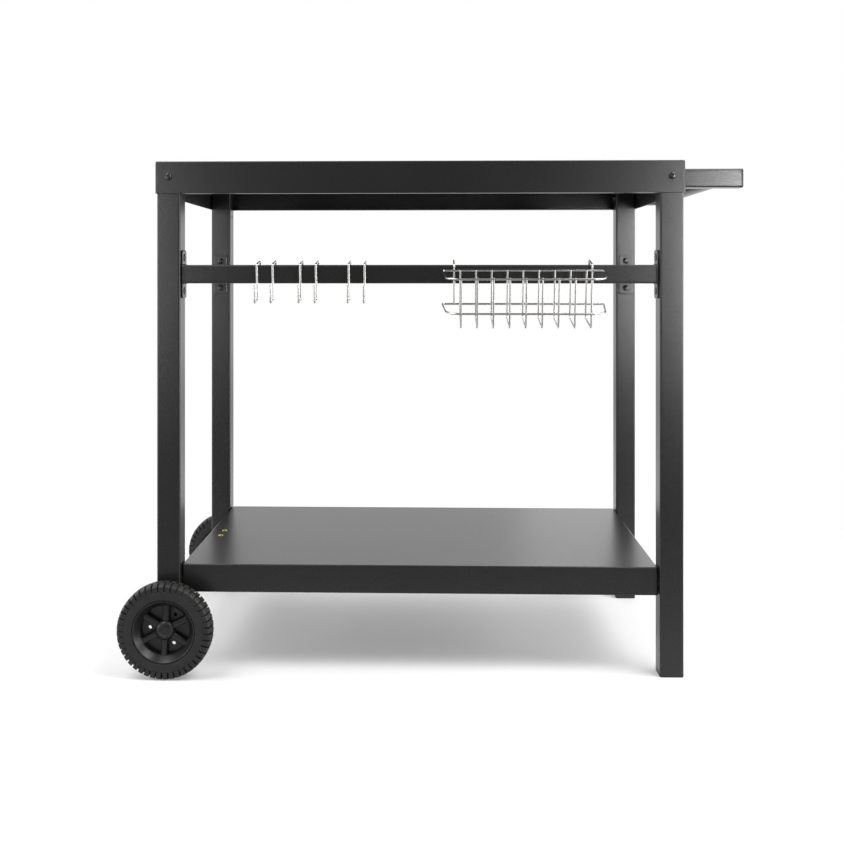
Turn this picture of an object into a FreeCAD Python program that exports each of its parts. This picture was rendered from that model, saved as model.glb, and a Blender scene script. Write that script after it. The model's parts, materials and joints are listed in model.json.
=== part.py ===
import FreeCAD, Part
import math
import os
import Sketcher

# Wheeled plancha table: a folded steel worktop on four square-tube legs, with a lower shelf,
# a push handle, a hook rail with hanging double hooks and a wire basket, and a pair of wheels.
# X runs along the worktop towards the handle, Y from the front to the back, and Z is up.

# Driving sizes, in millimetres, degrees and counts
SIZES = {
    # Worktop cap
    "table_height": 825,
    "worktop_length": 850,
    "worktop_depth": 480,
    "worktop_skirt": 52,
    "worktop_screw_drop": 25,
    "worktop_lip": 12,
    "lip_end_gap": 3,
    "sheet": 1.5,
    "fold_radius": 2.5,
    # Legs, rails and their tube
    "leg_width": 38,
    "tube_wall": 1.5,
    "tube_corner": 2,
    "rail_width": 30,
    "rail_height": 643,
    "spare_hole_drop": 66,
    "plate_length": 78,
    "plate_width": 26,
    "plate_thickness": 2.5,
    "plate_corner": 4,
    "plate_screw_spacing": 54,
    # Plastic plugs in the tube ends
    "foot_flange": 3,
    "foot_stem": 20,
    "short_leg_end": 64,
    "short_plug_flange": 2,
    "short_plug_stem": 5,
    "plug_fit": 0.15,
    # Lower shelf
    "shelf_height": 173,
    "shelf_apron": 45,
    "shelf_inset": 10,
    "shelf_screw_drop": 25,
    "insert_edge": 24,
    "insert_spacing": 38,
    "insert_offset": -8,
    "insert_flange_width": 9,
    "insert_flange": 0.8,
    "insert_width": 7,
    "insert_length": 12,
    "insert_bore": 5,
    # Screws and rivet nuts
    "screw_diameter": 6,
    "screw_length": 12,
    "screw_head_diameter": 12,
    "screw_head_height": 3.6,
    "flat_head_height": 1.2,
    "screw_head_sides": 8,
    "fastener_sides": 6,
    "screw_hole": 6.6,
    "nut_flange": 0.8,
    "nut_flange_width": 12.5,
    "nut_width": 9,
    "nut_length": 11,
    "thread_clearance": 0.05,
    # Push handle
    "handle_reach": 93,
    "handle_drop": 28.5,
    "handle_width": 30,
    "handle_bar_reach": 65,
    "handle_bar_diameter": 20,
    "handle_bar_sides": 16,
    "handle_cap_flange": 3,
    "handle_cap_stem": 12,
    "handle_block": 6,
    "handle_bolt_length": 46,
    "block_fit": 0.1,
    # Wheels and axle
    "axle_diameter": 10,
    "axle_clearance": 0.05,
    "axle_play": 0.3,
    "axle_end": 1,
    "axle_nut_width": 17,
    "axle_nut_height": 5,
    "spacer_width": 18,
    "wheel_gap": 3.5,
    "wheel_diameter": 152,
    "wheel_width": 34,
    "wheel_turn": 27,
    "tyre_bead_radius": 50,
    "tyre_fit": 0.05,
    "tyre_shoulder_radius": 71.5,
    "tyre_shoulder_width": 4,
    "lug_count": 44,
    "lug_gap": 3,
    "lug_root_radius": 64.5,
    "lug_depth": 10,
    "rim_ring_radius": 42,
    "rim_inset": 1.5,
    "web_base": 6,
    "web_thickness": 4,
    "hub_radius": 15.5,
    "hub_length": 20,
    "hub_recess_radius": 11.5,
    "hub_recess_depth": 7.5,
    "spoke_count": 6,
    "spoke_width": 11,
    "spoke_top": 20,
    "spoke_bevel": 3,
    "spoke_bite": 2,
    "window_hole_count": 3,
    "window_hole_width": 6,
    "window_hole_radius": 26.5,
    "cap_rise": 6.5,
    "cap_lip": 1.2,
    "cap_sides": 16,
    "cap_brow_radius": 11.5,
    "cap_brow_rise": 5.2,
    "cap_plug_wall": 1.5,
    "cap_plug_depth": 2,
    "cap_plug_fit": 0.1,
    # Bent wire
    "wire_sides": 6,
    "bend_chord": 12,
    # Double utensil hooks
    "hook_wire": 3.5,
    "hook_bend": 4,
    "hook_tilt": 7.5,
    "hook_spacing": 25.5,
    "hook_throat": 30,
    "hook_drop": 39.4,
    "hook_prong": 27.5,
    "hook_tail": 10,
    "hook_1_place": -247.6,
    "hook_2_place": -177.7,
    "hook_3_place": -99.4,
    "hang_clearance": 0.3,
    # Wire basket
    "basket_place": 166.9,
    "basket_tilt": 11,
    "basket_length": 260,
    "basket_depth": 72,
    "basket_end_slant": 7,
    "basket_back_bend": 4,
    "basket_front_bend": 22,
    "basket_hoop_height": 10.2,
    "basket_hoop_spacing": 54.6,
    "basket_floor_drop": 77.4,
    "hoop_wire": 3.2,
    "rib_wire": 3,
    "rib_count": 9,
    "rib_pitch": 25.1,
    "rib_bend": 4,
    "hanger_wire": 3.5,
    "hanger_bend": 4,
    "hanger_spacing": 220,
    "hanger_tail": 12,
    "weld_gap": 0.05,
}

doc = FreeCAD.newDocument("plancha_table")
sheet = doc.addObject("Spreadsheet::Sheet", "Sizes")
for row, (alias, size) in enumerate(SIZES.items(), start=1):
    sheet.set(f"A{row}", alias)
    sheet.set(f"B{row}", str(size))
    sheet.setAlias(f"B{row}", alias)
doc.recompute()

# Derived places, as expressions on the sheet
LEG_FACE_X = "(Sizes.worktop_length / 2 - Sizes.sheet - Sizes.nut_flange)"
LEG_FACE_Y = "(Sizes.worktop_depth / 2 - Sizes.sheet - Sizes.nut_flange)"
LEG_X = f"({LEG_FACE_X} - Sizes.leg_width / 2)"
LEG_Y = f"({LEG_FACE_Y} - Sizes.leg_width / 2)"
LEG_INNER_X = f"({LEG_FACE_X} - Sizes.leg_width)"
LEG_INNER_Y = f"({LEG_FACE_Y} - Sizes.leg_width)"
LEG_TOP = "(Sizes.table_height - Sizes.sheet)"
WORKTOP_SCREW_Z = "(Sizes.table_height - Sizes.worktop_screw_drop)"
SPARE_HOLE_Z = "(Sizes.table_height - Sizes.spare_hole_drop)"
RAIL_Z = "Sizes.rail_height"
PLATE_SCREWS_Z = [f"({RAIL_Z} + {side} * Sizes.plate_screw_spacing / 2)" for side in (-1, 1)]
PLATE_STACK = "(Sizes.nut_flange + Sizes.plate_thickness)"
RAIL_END_X = f"({LEG_INNER_X} - {PLATE_STACK})"
RAIL_END_Y = f"({LEG_INNER_Y} - {PLATE_STACK})"
SHELF_X = f"({LEG_INNER_X} - Sizes.nut_flange)"
SHELF_Y = f"({LEG_FACE_Y} - Sizes.shelf_inset)"
SHELF_SCREW_Z = "(Sizes.shelf_height - Sizes.shelf_screw_drop)"
INSERT_X = f"(Sizes.insert_edge - {SHELF_X})"
INSERTS_Y = [f"(Sizes.insert_offset + {side} * Sizes.insert_spacing / 2)" for side in (-1, 1)]
HANDLE_Z = "(Sizes.table_height - Sizes.handle_drop)"
HANDLE_ROOT_X = "(Sizes.worktop_length / 2)"
HANDLE_END_X = f"({HANDLE_ROOT_X} + Sizes.handle_reach - Sizes.handle_cap_flange)"
HANDLE_BAR_X = f"({HANDLE_ROOT_X} + Sizes.handle_bar_reach)"
HANDLE_BAR_Y = f"({LEG_Y} - Sizes.handle_width / 2)"
THREAD_BORE = "(Sizes.screw_diameter + 2 * Sizes.thread_clearance)"
SHANK_WIDTH = "(Sizes.screw_diameter * cos(180 / Sizes.fastener_sides))"
AXLE_Z = "(Sizes.wheel_diameter / 2)"
TYRE_CROWN = "(Sizes.wheel_diameter / 2)"
WHEEL_BORE = "(Sizes.axle_diameter + 2 * Sizes.axle_clearance)"
WHEEL_INNER_Y = f"({LEG_FACE_Y} + Sizes.wheel_gap)"
HUB_SEAT = "(Sizes.hub_length - Sizes.hub_recess_depth)"
AXLE_NUT_Y = f"({WHEEL_INNER_Y} + {HUB_SEAT} + Sizes.axle_play)"
AXLE_HALF = f"({AXLE_NUT_Y} + Sizes.axle_nut_height + Sizes.axle_end)"

# Each leg's side of the table along X and Y
CORNERS = {
    "front_left": (-1, -1),
    "back_left": (-1, 1),
    "front_right": (1, -1),
    "back_right": (1, 1),
}
# Each axis with the sketch plane that it crosses, and the way that plane's normal points
PLANES = {"X": ("YZ_Plane", 1), "Y": ("XZ_Plane", -1), "Z": ("XY_Plane", 1)}
# The corners of a chamfered rectangle in order: its side and level, and where the cut shortens it
CORNER_CUTS = (
    (1, -1, 1, 0), (1, -1, 0, 1), (1, 1, 0, 1), (1, 1, 1, 0),
    (-1, 1, 1, 0), (-1, 1, 0, 1), (-1, -1, 0, 1), (-1, -1, 1, 0),
)
# How a swept wire turns a corner, and how far its volume may be from its section times its length
MITRED = 1
VOLUME_SLACK = 0.02

pieces = []


def number(expression):
    """The value of an expression on the sheet."""
    return float(sheet.evalExpression(expression))


def keep(piece, place=FreeCAD.Placement()):
    """List a finished piece with its place on the table."""
    pieces.append((piece, place))
    return piece


def new_body(label):
    body = doc.addObject("PartDesign::Body", label)
    body.Label = label
    return body


def sketch_across(body, axis, at="0"):
    """A sketch square to the axis. Its own axes are the other two, in X, Y, Z order."""
    role, normal = PLANES[axis]
    plane = next(item for item in body.Origin.OriginFeatures if item.Role == role)
    sketch = body.newObject("Sketcher::SketchObject", "Sketch")
    sketch.AttachmentSupport = [(plane, "")]
    sketch.MapMode = "FlatFace"
    sketch.setExpression("AttachmentOffset.Base.z", f"{normal} * ({at})")
    return sketch


def bind(sketch, constraint, expression):
    index = sketch.addConstraint(constraint)
    sketch.setExpression(f"Constraints[{index}]", expression)


def bind_point(sketch, geometry, point, across, up):
    bind(sketch, Sketcher.Constraint("DistanceX", geometry, point, number(across)), across)
    bind(sketch, Sketcher.Constraint("DistanceY", geometry, point, number(up)), up)


def polygon(sketch, corners):
    """A closed outline with its corners at pairs of expressions."""
    first = sketch.GeometryCount
    count = len(corners)
    points = [FreeCAD.Vector(number(across), number(up), 0) for across, up in corners]
    for index, point in enumerate(points):
        sketch.addGeometry(Part.LineSegment(point, points[(index + 1) % count]), False)
    for index in range(count):
        following = first + (index + 1) % count
        sketch.addConstraint(Sketcher.Constraint("Coincident", first + index, 2, following, 1))
    for index, (across, up) in enumerate(corners):
        bind_point(sketch, first + index, 1, across, up)


def rectangle(sketch, low, high):
    polygon(sketch, [low, (high[0], low[1]), high, (low[0], high[1])])


def circle(sketch, across, up, diameter):
    centre = FreeCAD.Vector(number(across), number(up), 0)
    outline = Part.Circle(centre, FreeCAD.Vector(0, 0, 1), number(diameter) / 2)
    index = sketch.addGeometry(outline, False)
    bind_point(sketch, index, 3, across, up)
    bind(sketch, Sketcher.Constraint("Diameter", index, number(diameter)), diameter)


def regular_polygon(sketch, across, up, flats, sides):
    """An even polygon about its centre, a given distance across its flats."""
    reach = f"({flats} / 2 / cos(180 / {sides}))"
    corners = []
    for index in range(int(number(sides))):
        turn = f"(360 * {index} / {sides})"
        corners.append((f"{across} + {reach} * cos({turn})", f"{up} + {reach} * sin({turn})"))
    polygon(sketch, corners)


def chamfered_rectangle(sketch, centre, width, height, corner):
    """A rectangle about its centre with its corners cut."""
    corners = []
    for side, level, shorter, lower in CORNER_CUTS:
        across = f"{centre[0]} + {side} * ({width} / 2 - {shorter} * {corner})"
        up = f"{centre[1]} + {level} * ({height} / 2 - {lower} * {corner})"
        corners.append((across, up))
    polygon(sketch, corners)


def square(sketch, centre, width):
    low = [f"{place} - {width} / 2" for place in centre]
    high = [f"{place} + {width} / 2" for place in centre]
    rectangle(sketch, low, high)


def pad(body, sketch, length):
    feature = body.newObject("PartDesign::Pad", "Pad")
    feature.Profile = sketch
    feature.Reversed = sketch.AttachmentSupport[0][0].Role == "XZ_Plane"
    feature.setExpression("Length", length)
    return feature


def pocket(body, sketch, depth, upwards):
    """Cut from the sketch towards the rising or falling side of its axis."""
    doc.recompute()
    before = body.Shape.Volume
    feature = body.newObject("PartDesign::Pocket", "Pocket")
    feature.Profile = sketch
    normal_rises = sketch.AttachmentSupport[0][0].Role != "XZ_Plane"
    feature.Reversed = upwards == normal_rises
    feature.setExpression("Length", depth)
    doc.recompute()
    if not body.Shape.Volume < before:
        raise RuntimeError(f"{body.Label}: a cut misses the solid")
    return feature


def drill(body, axis, at, upwards, centres, width, depth):
    """Holes for fasteners, each a given width across its flats."""
    sketch = sketch_across(body, axis, at)
    for across, up in centres:
        regular_polygon(sketch, across, up, width, "Sizes.fastener_sides")
    return pocket(body, sketch, depth, upwards)


def bore(body, axis, at, upwards, centre, diameter, depth):
    """A round hole that something turns in."""
    sketch = sketch_across(body, axis, at)
    circle(sketch, *centre, diameter)
    return pocket(body, sketch, depth, upwards)


def round_edges(body, radius, chosen):
    """Round the chosen edges of the body's last feature."""
    doc.recompute()
    last = body.Tip
    names = [f"Edge{index}" for index, edge in enumerate(last.Shape.Edges, start=1) if chosen(edge)]
    fillet = body.newObject("PartDesign::Fillet", "Fillet")
    fillet.Base = (last, names)
    fillet.setExpression("Radius", radius)


def prism(body, kind, sides, radius, start, end):
    """An even prism on the body's Z axis: kind says whether it is Additive or Subtractive."""
    feature = body.newObject(f"PartDesign::{kind}Prism", "Prism")
    plane = next(item for item in body.Origin.OriginFeatures if item.Role == "XY_Plane")
    feature.AttachmentSupport = [(plane, "")]
    feature.MapMode = "FlatFace"
    feature.setExpression("AttachmentOffset.Base.z", start)
    feature.setExpression("Polygon", sides)
    feature.setExpression("Circumradius", radius)
    feature.setExpression("Height", f"{end} - {start}")


def repeat_round(body, feature, count):
    """Repeat a feature evenly about the body's Z axis."""
    pattern = body.newObject("PartDesign::PolarPattern", "PolarPattern")
    pattern.Originals = [feature]
    pattern.Axis = (next(item for item in body.Origin.OriginFeatures if item.Role == "Z_Axis"), [""])
    pattern.Angle = 360
    pattern.setExpression("Occurrences", count)
    body.Tip = pattern


def group(label, members):
    """Several solids of one kind as one piece."""
    compound = doc.addObject("Part::Compound", label)
    compound.Label = label
    compound.Links = members
    return keep(compound)


def scatter(label, pattern_body, seats):
    """Copies of one fastener, each at a seat with the way that its head looks."""
    doc.recompute()
    copies = []
    for place, outward in seats:
        copy = pattern_body.Shape.copy()
        across = FreeCAD.Vector(0, 1, 0) if outward[0] else FreeCAD.Vector(1, 0, 0)
        turn = FreeCAD.Rotation(across, FreeCAD.Vector(), FreeCAD.Vector(*outward), "ZXY")
        base = FreeCAD.Vector(*[number(part) for part in place])
        copy.Placement = FreeCAD.Placement(base, turn)
        copies.append(copy)
    feature = doc.addObject("Part::Feature", label)
    feature.Label = label
    feature.Shape = Part.makeCompound(copies)
    return keep(feature)


def tray(label, half_length, half_depth, top, drop):
    """A sheet tray with its open side down: four folds round the top, and square seams at its corners."""
    body = new_body(label)
    bottom = f"({top} - {drop})"
    outline = sketch_across(body, "Z", bottom)
    rectangle(outline, (f"-{half_length}", f"-{half_depth}"), (half_length, half_depth))
    pad(body, outline, drop)
    fold = number(top) - number("Sizes.sheet")
    round_edges(body, "Sizes.fold_radius", lambda edge: edge.BoundBox.ZMin > fold)
    hollow = sketch_across(body, "Z", bottom)
    inner_length = f"({half_length} - Sizes.sheet)"
    inner_depth = f"({half_depth} - Sizes.sheet)"
    rectangle(hollow, (f"-{inner_length}", f"-{inner_depth}"), (inner_length, inner_depth))
    pocket(body, hollow, f"{drop} - Sizes.sheet", True)
    return keep(body)


def square_tube(label, axis, start, end, centre, width):
    """A square tube along an axis, with its wall open at both ends."""
    body = new_body(label)
    section = sketch_across(body, axis, start)
    chamfered_rectangle(section, centre, width, width, "Sizes.tube_corner")
    square(section, centre, f"({width} - 2 * Sizes.tube_wall)")
    pad(body, section, f"{end} - {start}")
    return keep(body)


def leg(corner, foot):
    """One leg, drilled for every rivet nut, bolt and axle that it takes, and one with a spare hole."""
    side, depth = CORNERS[corner]
    across = f"{side} * {LEG_X}"
    along = f"{depth} * {LEG_Y}"
    body = square_tube(f"leg_{corner}", "Z", foot, LEG_TOP, (across, along), "Sizes.leg_width")
    wall = "Sizes.tube_wall"
    nut = "Sizes.nut_width"
    outer_y = f"{depth} * {LEG_FACE_Y}"
    inner_y = f"{depth} * {LEG_INNER_Y}"
    inner_x = f"{side} * {LEG_INNER_X}"
    outer_x = f"{side} * {LEG_FACE_X}"
    drill(body, "Y", outer_y, depth < 0, [(across, WORKTOP_SCREW_Z)], nut, wall)
    drill(body, "Y", inner_y, depth > 0, [(across, height) for height in PLATE_SCREWS_Z], nut, wall)
    inner_holes = [SHELF_SCREW_Z]
    if depth < 0:
        inner_holes += PLATE_SCREWS_Z
    drill(body, "X", inner_x, side > 0, [(along, height) for height in inner_holes], nut, wall)
    if corner == "back_left":
        drill(body, "X", inner_x, side > 0, [(along, SPARE_HOLE_Z)], "Sizes.screw_hole", wall)
    if side < 0:
        drill(body, "X", outer_x, True, [(along, WORKTOP_SCREW_Z)], nut, wall)
        bore(body, "Y", outer_y, depth < 0, (across, AXLE_Z), WHEEL_BORE, "Sizes.leg_width")
    else:
        drill(body, "X", outer_x, False, [(along, HANDLE_Z)], "Sizes.screw_hole", "Sizes.leg_width")


def tube_plug(label, axis, centre, width, flange_at, flange, stem_at, stem):
    """A plastic plug: a flange as wide as the tube beyond its end, and a stem inside it."""
    body = new_body(label)
    base = sketch_across(body, axis, flange_at)
    chamfered_rectangle(base, centre, width, width, "Sizes.tube_corner")
    pad(body, base, flange)
    root = sketch_across(body, axis, stem_at)
    square(root, centre, f"({width} - 2 * Sizes.tube_wall - 2 * Sizes.plug_fit)")
    pad(body, root, stem)
    keep(body)


def leg_plug(label, corner, bottom, flange, stem):
    side, depth = CORNERS[corner]
    centre = (f"{side} * {LEG_X}", f"{depth} * {LEG_Y}")
    tube_plug(label, "Z", centre, "Sizes.leg_width", bottom, flange, f"{bottom} + {flange}", stem)


def end_plate(label, axis, at, across):
    """A rail's end plate with two screw holes, from a face on the axis to its thickness beyond."""
    body = new_body(label)
    outline = sketch_across(body, axis, at)
    centre = (across, RAIL_Z)
    chamfered_rectangle(outline, centre, "Sizes.plate_width", "Sizes.plate_length", "Sizes.plate_corner")
    pad(body, outline, "Sizes.plate_thickness")
    holes = [(across, height) for height in PLATE_SCREWS_Z]
    drill(body, axis, at, True, holes, "Sizes.screw_hole", "Sizes.plate_thickness")
    return body


def rails():
    """The front hook rail and the two side rails, each between a pair of end plates."""
    front_y = f"-{LEG_Y}"
    square_tube("front_rail", "X", f"-{RAIL_END_X}", RAIL_END_X, (front_y, RAIL_Z), "Sizes.rail_width")
    plates = [
        end_plate("front_plate_left", "X", f"-{RAIL_END_X} - Sizes.plate_thickness", front_y),
        end_plate("front_plate_right", "X", RAIL_END_X, front_y),
    ]
    group("front_rail_plates", plates)
    for name, side in (("left", -1), ("right", 1)):
        across = f"{side} * {LEG_X}"
        square_tube(
            f"{name}_rail", "Y", f"-{RAIL_END_Y}", RAIL_END_Y, (across, RAIL_Z), "Sizes.rail_width"
        )
        plates = [
            end_plate(f"{name}_plate_front", "Y", f"-{RAIL_END_Y} - Sizes.plate_thickness", across),
            end_plate(f"{name}_plate_back", "Y", RAIL_END_Y, across),
        ]
        group(f"{name}_rail_plates", plates)


def worktop():
    """The worktop's tray, with a lip turned in under its front and back skirts between the legs."""
    body = tray("worktop", "(Sizes.worktop_length / 2)", "(Sizes.worktop_depth / 2)", "Sizes.table_height",
                "Sizes.worktop_skirt")
    lips = sketch_across(body, "Z", "(Sizes.table_height - Sizes.worktop_skirt)")
    reach = f"({LEG_INNER_X} - Sizes.lip_end_gap)"
    root = "(Sizes.worktop_depth / 2 - Sizes.sheet)"
    tip = f"({root} - Sizes.worktop_lip)"
    rectangle(lips, (f"-{reach}", f"-{root}"), (reach, f"-{tip}"))
    rectangle(lips, (f"-{reach}", tip), (reach, root))
    pad(body, lips, "Sizes.sheet")
    hole = "Sizes.screw_hole"
    for depth in (-1, 1):
        edge = f"{depth} * Sizes.worktop_depth / 2"
        centres = [(f"{side} * {LEG_X}", WORKTOP_SCREW_Z) for side in (-1, 1)]
        drill(body, "Y", edge, depth < 0, centres, hole, "Sizes.sheet")
    for side, height in ((-1, WORKTOP_SCREW_Z), (1, HANDLE_Z)):
        edge = f"{side} * Sizes.worktop_length / 2"
        centres = [(f"{depth} * {LEG_Y}", height) for depth in (-1, 1)]
        drill(body, "X", edge, side < 0, centres, hole, "Sizes.sheet")


def lower_shelf():
    body = tray("lower_shelf", SHELF_X, SHELF_Y, "Sizes.shelf_height", "Sizes.shelf_apron")
    for side in (-1, 1):
        centres = [(f"{depth} * {LEG_Y}", SHELF_SCREW_Z) for depth in (-1, 1)]
        drill(body, "X", f"{side} * {SHELF_X}", side < 0, centres, "Sizes.screw_hole", "Sizes.sheet")
    centres = [(INSERT_X, place) for place in INSERTS_Y]
    drill(body, "Z", "Sizes.shelf_height", False, centres, "Sizes.insert_width", "Sizes.sheet")
    drill(body, "Z", "Sizes.shelf_height", False, centres, "Sizes.insert_flange_width", "Sizes.insert_flange")


def handle():
    """Two square arms with capped ends and threaded blocks in their roots, and a round bar between them."""
    width = "Sizes.handle_width"
    inner = f"({width} - 2 * Sizes.tube_wall)"
    stem = "Sizes.handle_cap_stem"
    blocks = []
    for name, depth in (("front", -1), ("back", 1)):
        centre = (f"{depth} * {LEG_Y}", HANDLE_Z)
        square_tube(f"handle_arm_{name}", "X", HANDLE_ROOT_X, HANDLE_END_X, centre, width)
        tube_plug(f"handle_cap_{name}", "X", centre, width, HANDLE_END_X, "Sizes.handle_cap_flange",
                  f"{HANDLE_END_X} - {stem}", stem)
        block = new_body(f"handle_block_{name}")
        outline = sketch_across(block, "X", HANDLE_ROOT_X)
        square(outline, centre, f"({inner} - 2 * Sizes.block_fit)")
        regular_polygon(outline, *centre, THREAD_BORE, "Sizes.fastener_sides")
        pad(block, outline, "Sizes.handle_block")
        blocks.append(block)
    group("handle_blocks", blocks)
    bar = new_body("handle_bar")
    section = sketch_across(bar, "Y", f"-{HANDLE_BAR_Y}")
    for across in ("Sizes.handle_bar_diameter", "(Sizes.handle_bar_diameter - 2 * Sizes.tube_wall)"):
        regular_polygon(section, HANDLE_BAR_X, HANDLE_Z, across, "Sizes.handle_bar_sides")
    pad(bar, section, f"2 * {HANDLE_BAR_Y}")
    keep(bar)


def headed_screw(label, length, height):
    """A round head on Z = 0 with its shank below."""
    body = new_body(label)
    shank = sketch_across(body, "Z", f"-{length}")
    regular_polygon(shank, "0", "0", SHANK_WIDTH, "Sizes.fastener_sides")
    pad(body, shank, length)
    head = sketch_across(body, "Z")
    regular_polygon(head, "0", "0", "Sizes.screw_head_diameter", "Sizes.screw_head_sides")
    pad(body, head, height)
    return body


def rivet_nut(label, flange_width, flange, width, length):
    """A flanged blind nut without its bore: the flange on Z = 0 and the barrel below."""
    body = new_body(label)
    barrel = sketch_across(body, "Z", f"-{length}")
    regular_polygon(barrel, "0", "0", width, "Sizes.fastener_sides")
    pad(body, barrel, length)
    collar = sketch_across(body, "Z")
    regular_polygon(collar, "0", "0", flange_width, "Sizes.fastener_sides")
    pad(body, collar, flange)
    return body


def fasteners():
    """Screws and rivet nuts of the worktop, the rails and the handle, and the shelf's flush inserts."""
    pan = "Sizes.screw_head_height"
    screw = headed_screw("screw_pattern", "Sizes.screw_length", pan)
    flat_screw = headed_screw("flat_screw_pattern", "Sizes.screw_length", "Sizes.flat_head_height")
    bolt = headed_screw("bolt_pattern", "Sizes.handle_bolt_length", pan)
    nut = rivet_nut("nut_pattern", "Sizes.nut_flange_width", "Sizes.nut_flange", "Sizes.nut_width",
                    "Sizes.nut_length")
    through = "Sizes.nut_length + Sizes.nut_flange"
    drill(nut, "Z", "Sizes.nut_flange", False, [("0", "0")], THREAD_BORE, through)
    insert = rivet_nut("insert_pattern", "Sizes.insert_flange_width", "Sizes.insert_flange",
                       "Sizes.insert_width", "Sizes.insert_length")
    bore(insert, "Z", "Sizes.insert_flange", False, ("0", "0"), "Sizes.insert_bore",
         "Sizes.insert_length + Sizes.insert_flange")
    worktop_screws = []
    worktop_nuts = []
    front_rail_screws = []
    rail_screws = []
    rail_nuts = []
    shelf_screws = []
    shelf_nuts = []
    handle_bolts = []
    for side, depth in CORNERS.values():
        across = f"{side} * {LEG_X}"
        along = f"{depth} * {LEG_Y}"
        outwards = (0, depth, 0)
        inwards = (-side, 0, 0)
        worktop_screws.append(((across, f"{depth} * Sizes.worktop_depth / 2", WORKTOP_SCREW_Z), outwards))
        worktop_nuts.append(((across, f"{depth} * {LEG_FACE_Y}", WORKTOP_SCREW_Z), outwards))
        if side < 0:
            worktop_screws.append((("-Sizes.worktop_length / 2", along, WORKTOP_SCREW_Z), (side, 0, 0)))
            worktop_nuts.append(((f"-{LEG_FACE_X}", along, WORKTOP_SCREW_Z), (side, 0, 0)))
        else:
            handle_bolts.append(((LEG_INNER_X, along, HANDLE_Z), inwards))
        shelf_screws.append(((f"{side} * ({SHELF_X} - Sizes.sheet)", along, SHELF_SCREW_Z), inwards))
        shelf_nuts.append(((f"{side} * {LEG_INNER_X}", along, SHELF_SCREW_Z), inwards))
        for height in PLATE_SCREWS_Z:
            if depth < 0:
                front_rail_screws.append(((f"{side} * {RAIL_END_X}", along, height), inwards))
                rail_nuts.append(((f"{side} * {LEG_INNER_X}", along, height), inwards))
            rail_screws.append(((across, f"{depth} * {RAIL_END_Y}", height), (0, -depth, 0)))
            rail_nuts.append(((across, f"{depth} * {LEG_INNER_Y}", height), (0, -depth, 0)))
    scatter("worktop_screws", screw, worktop_screws)
    scatter("worktop_rivet_nuts", nut, worktop_nuts)
    scatter("front_rail_screws", flat_screw, front_rail_screws)
    scatter("rail_screws", screw, rail_screws)
    scatter("rail_rivet_nuts", nut, rail_nuts)
    scatter("shelf_screws", screw, shelf_screws)
    scatter("shelf_rivet_nuts", nut, shelf_nuts)
    scatter("handle_bolts", bolt, handle_bolts)
    upwards = (0, 0, 1)
    flush = "Sizes.shelf_height - Sizes.insert_flange"
    shelf_inserts = [((INSERT_X, place, flush), upwards) for place in INSERTS_Y]
    scatter("shelf_inserts", insert, shelf_inserts)


def axle():
    """The through axle with a spacer inside each wheel and a thin nut outside it."""
    body = new_body("axle")
    section = sketch_across(body, "Y", f"-{AXLE_HALF}")
    circle(section, f"-{LEG_X}", AXLE_Z, "Sizes.axle_diameter")
    pad(body, section, f"2 * {AXLE_HALF}")
    keep(body)
    spacer = "(Sizes.wheel_gap - Sizes.axle_play)"
    nut = "Sizes.axle_nut_height"
    spacers = [
        axle_ring("spacer_front", f"-{LEG_FACE_Y} - {spacer}", spacer, "Sizes.spacer_width"),
        axle_ring("spacer_back", LEG_FACE_Y, spacer, "Sizes.spacer_width"),
    ]
    nuts = [
        axle_ring("axle_nut_front", f"-{AXLE_NUT_Y} - {nut}", nut, "Sizes.axle_nut_width"),
        axle_ring("axle_nut_back", AXLE_NUT_Y, nut, "Sizes.axle_nut_width"),
    ]
    group("axle_spacers", spacers)
    group("axle_nuts", nuts)


def axle_ring(label, start, length, width):
    """A hexagonal ring on the axle."""
    body = new_body(label)
    section = sketch_across(body, "Y", start)
    regular_polygon(section, f"-{LEG_X}", AXLE_Z, width, "Sizes.fastener_sides")
    circle(section, f"-{LEG_X}", AXLE_Z, WHEEL_BORE)
    pad(body, section, length)
    return body


def wheel_place(depth):
    """A wheel's own Z points away from the table, with its inner face at Z = 0."""
    turn = FreeCAD.Rotation(FreeCAD.Vector(1, 0, 0), 90)
    if depth > 0:
        turn = FreeCAD.Rotation(FreeCAD.Vector(0, 0, 1), 180).multiply(turn)
    spin = FreeCAD.Rotation(FreeCAD.Vector(0, 0, 1), number("Sizes.wheel_turn"))
    base = FreeCAD.Vector(-number(LEG_X), depth * number(WHEEL_INNER_Y), number(AXLE_Z))
    return FreeCAD.Placement(base, turn.multiply(spin))


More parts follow.
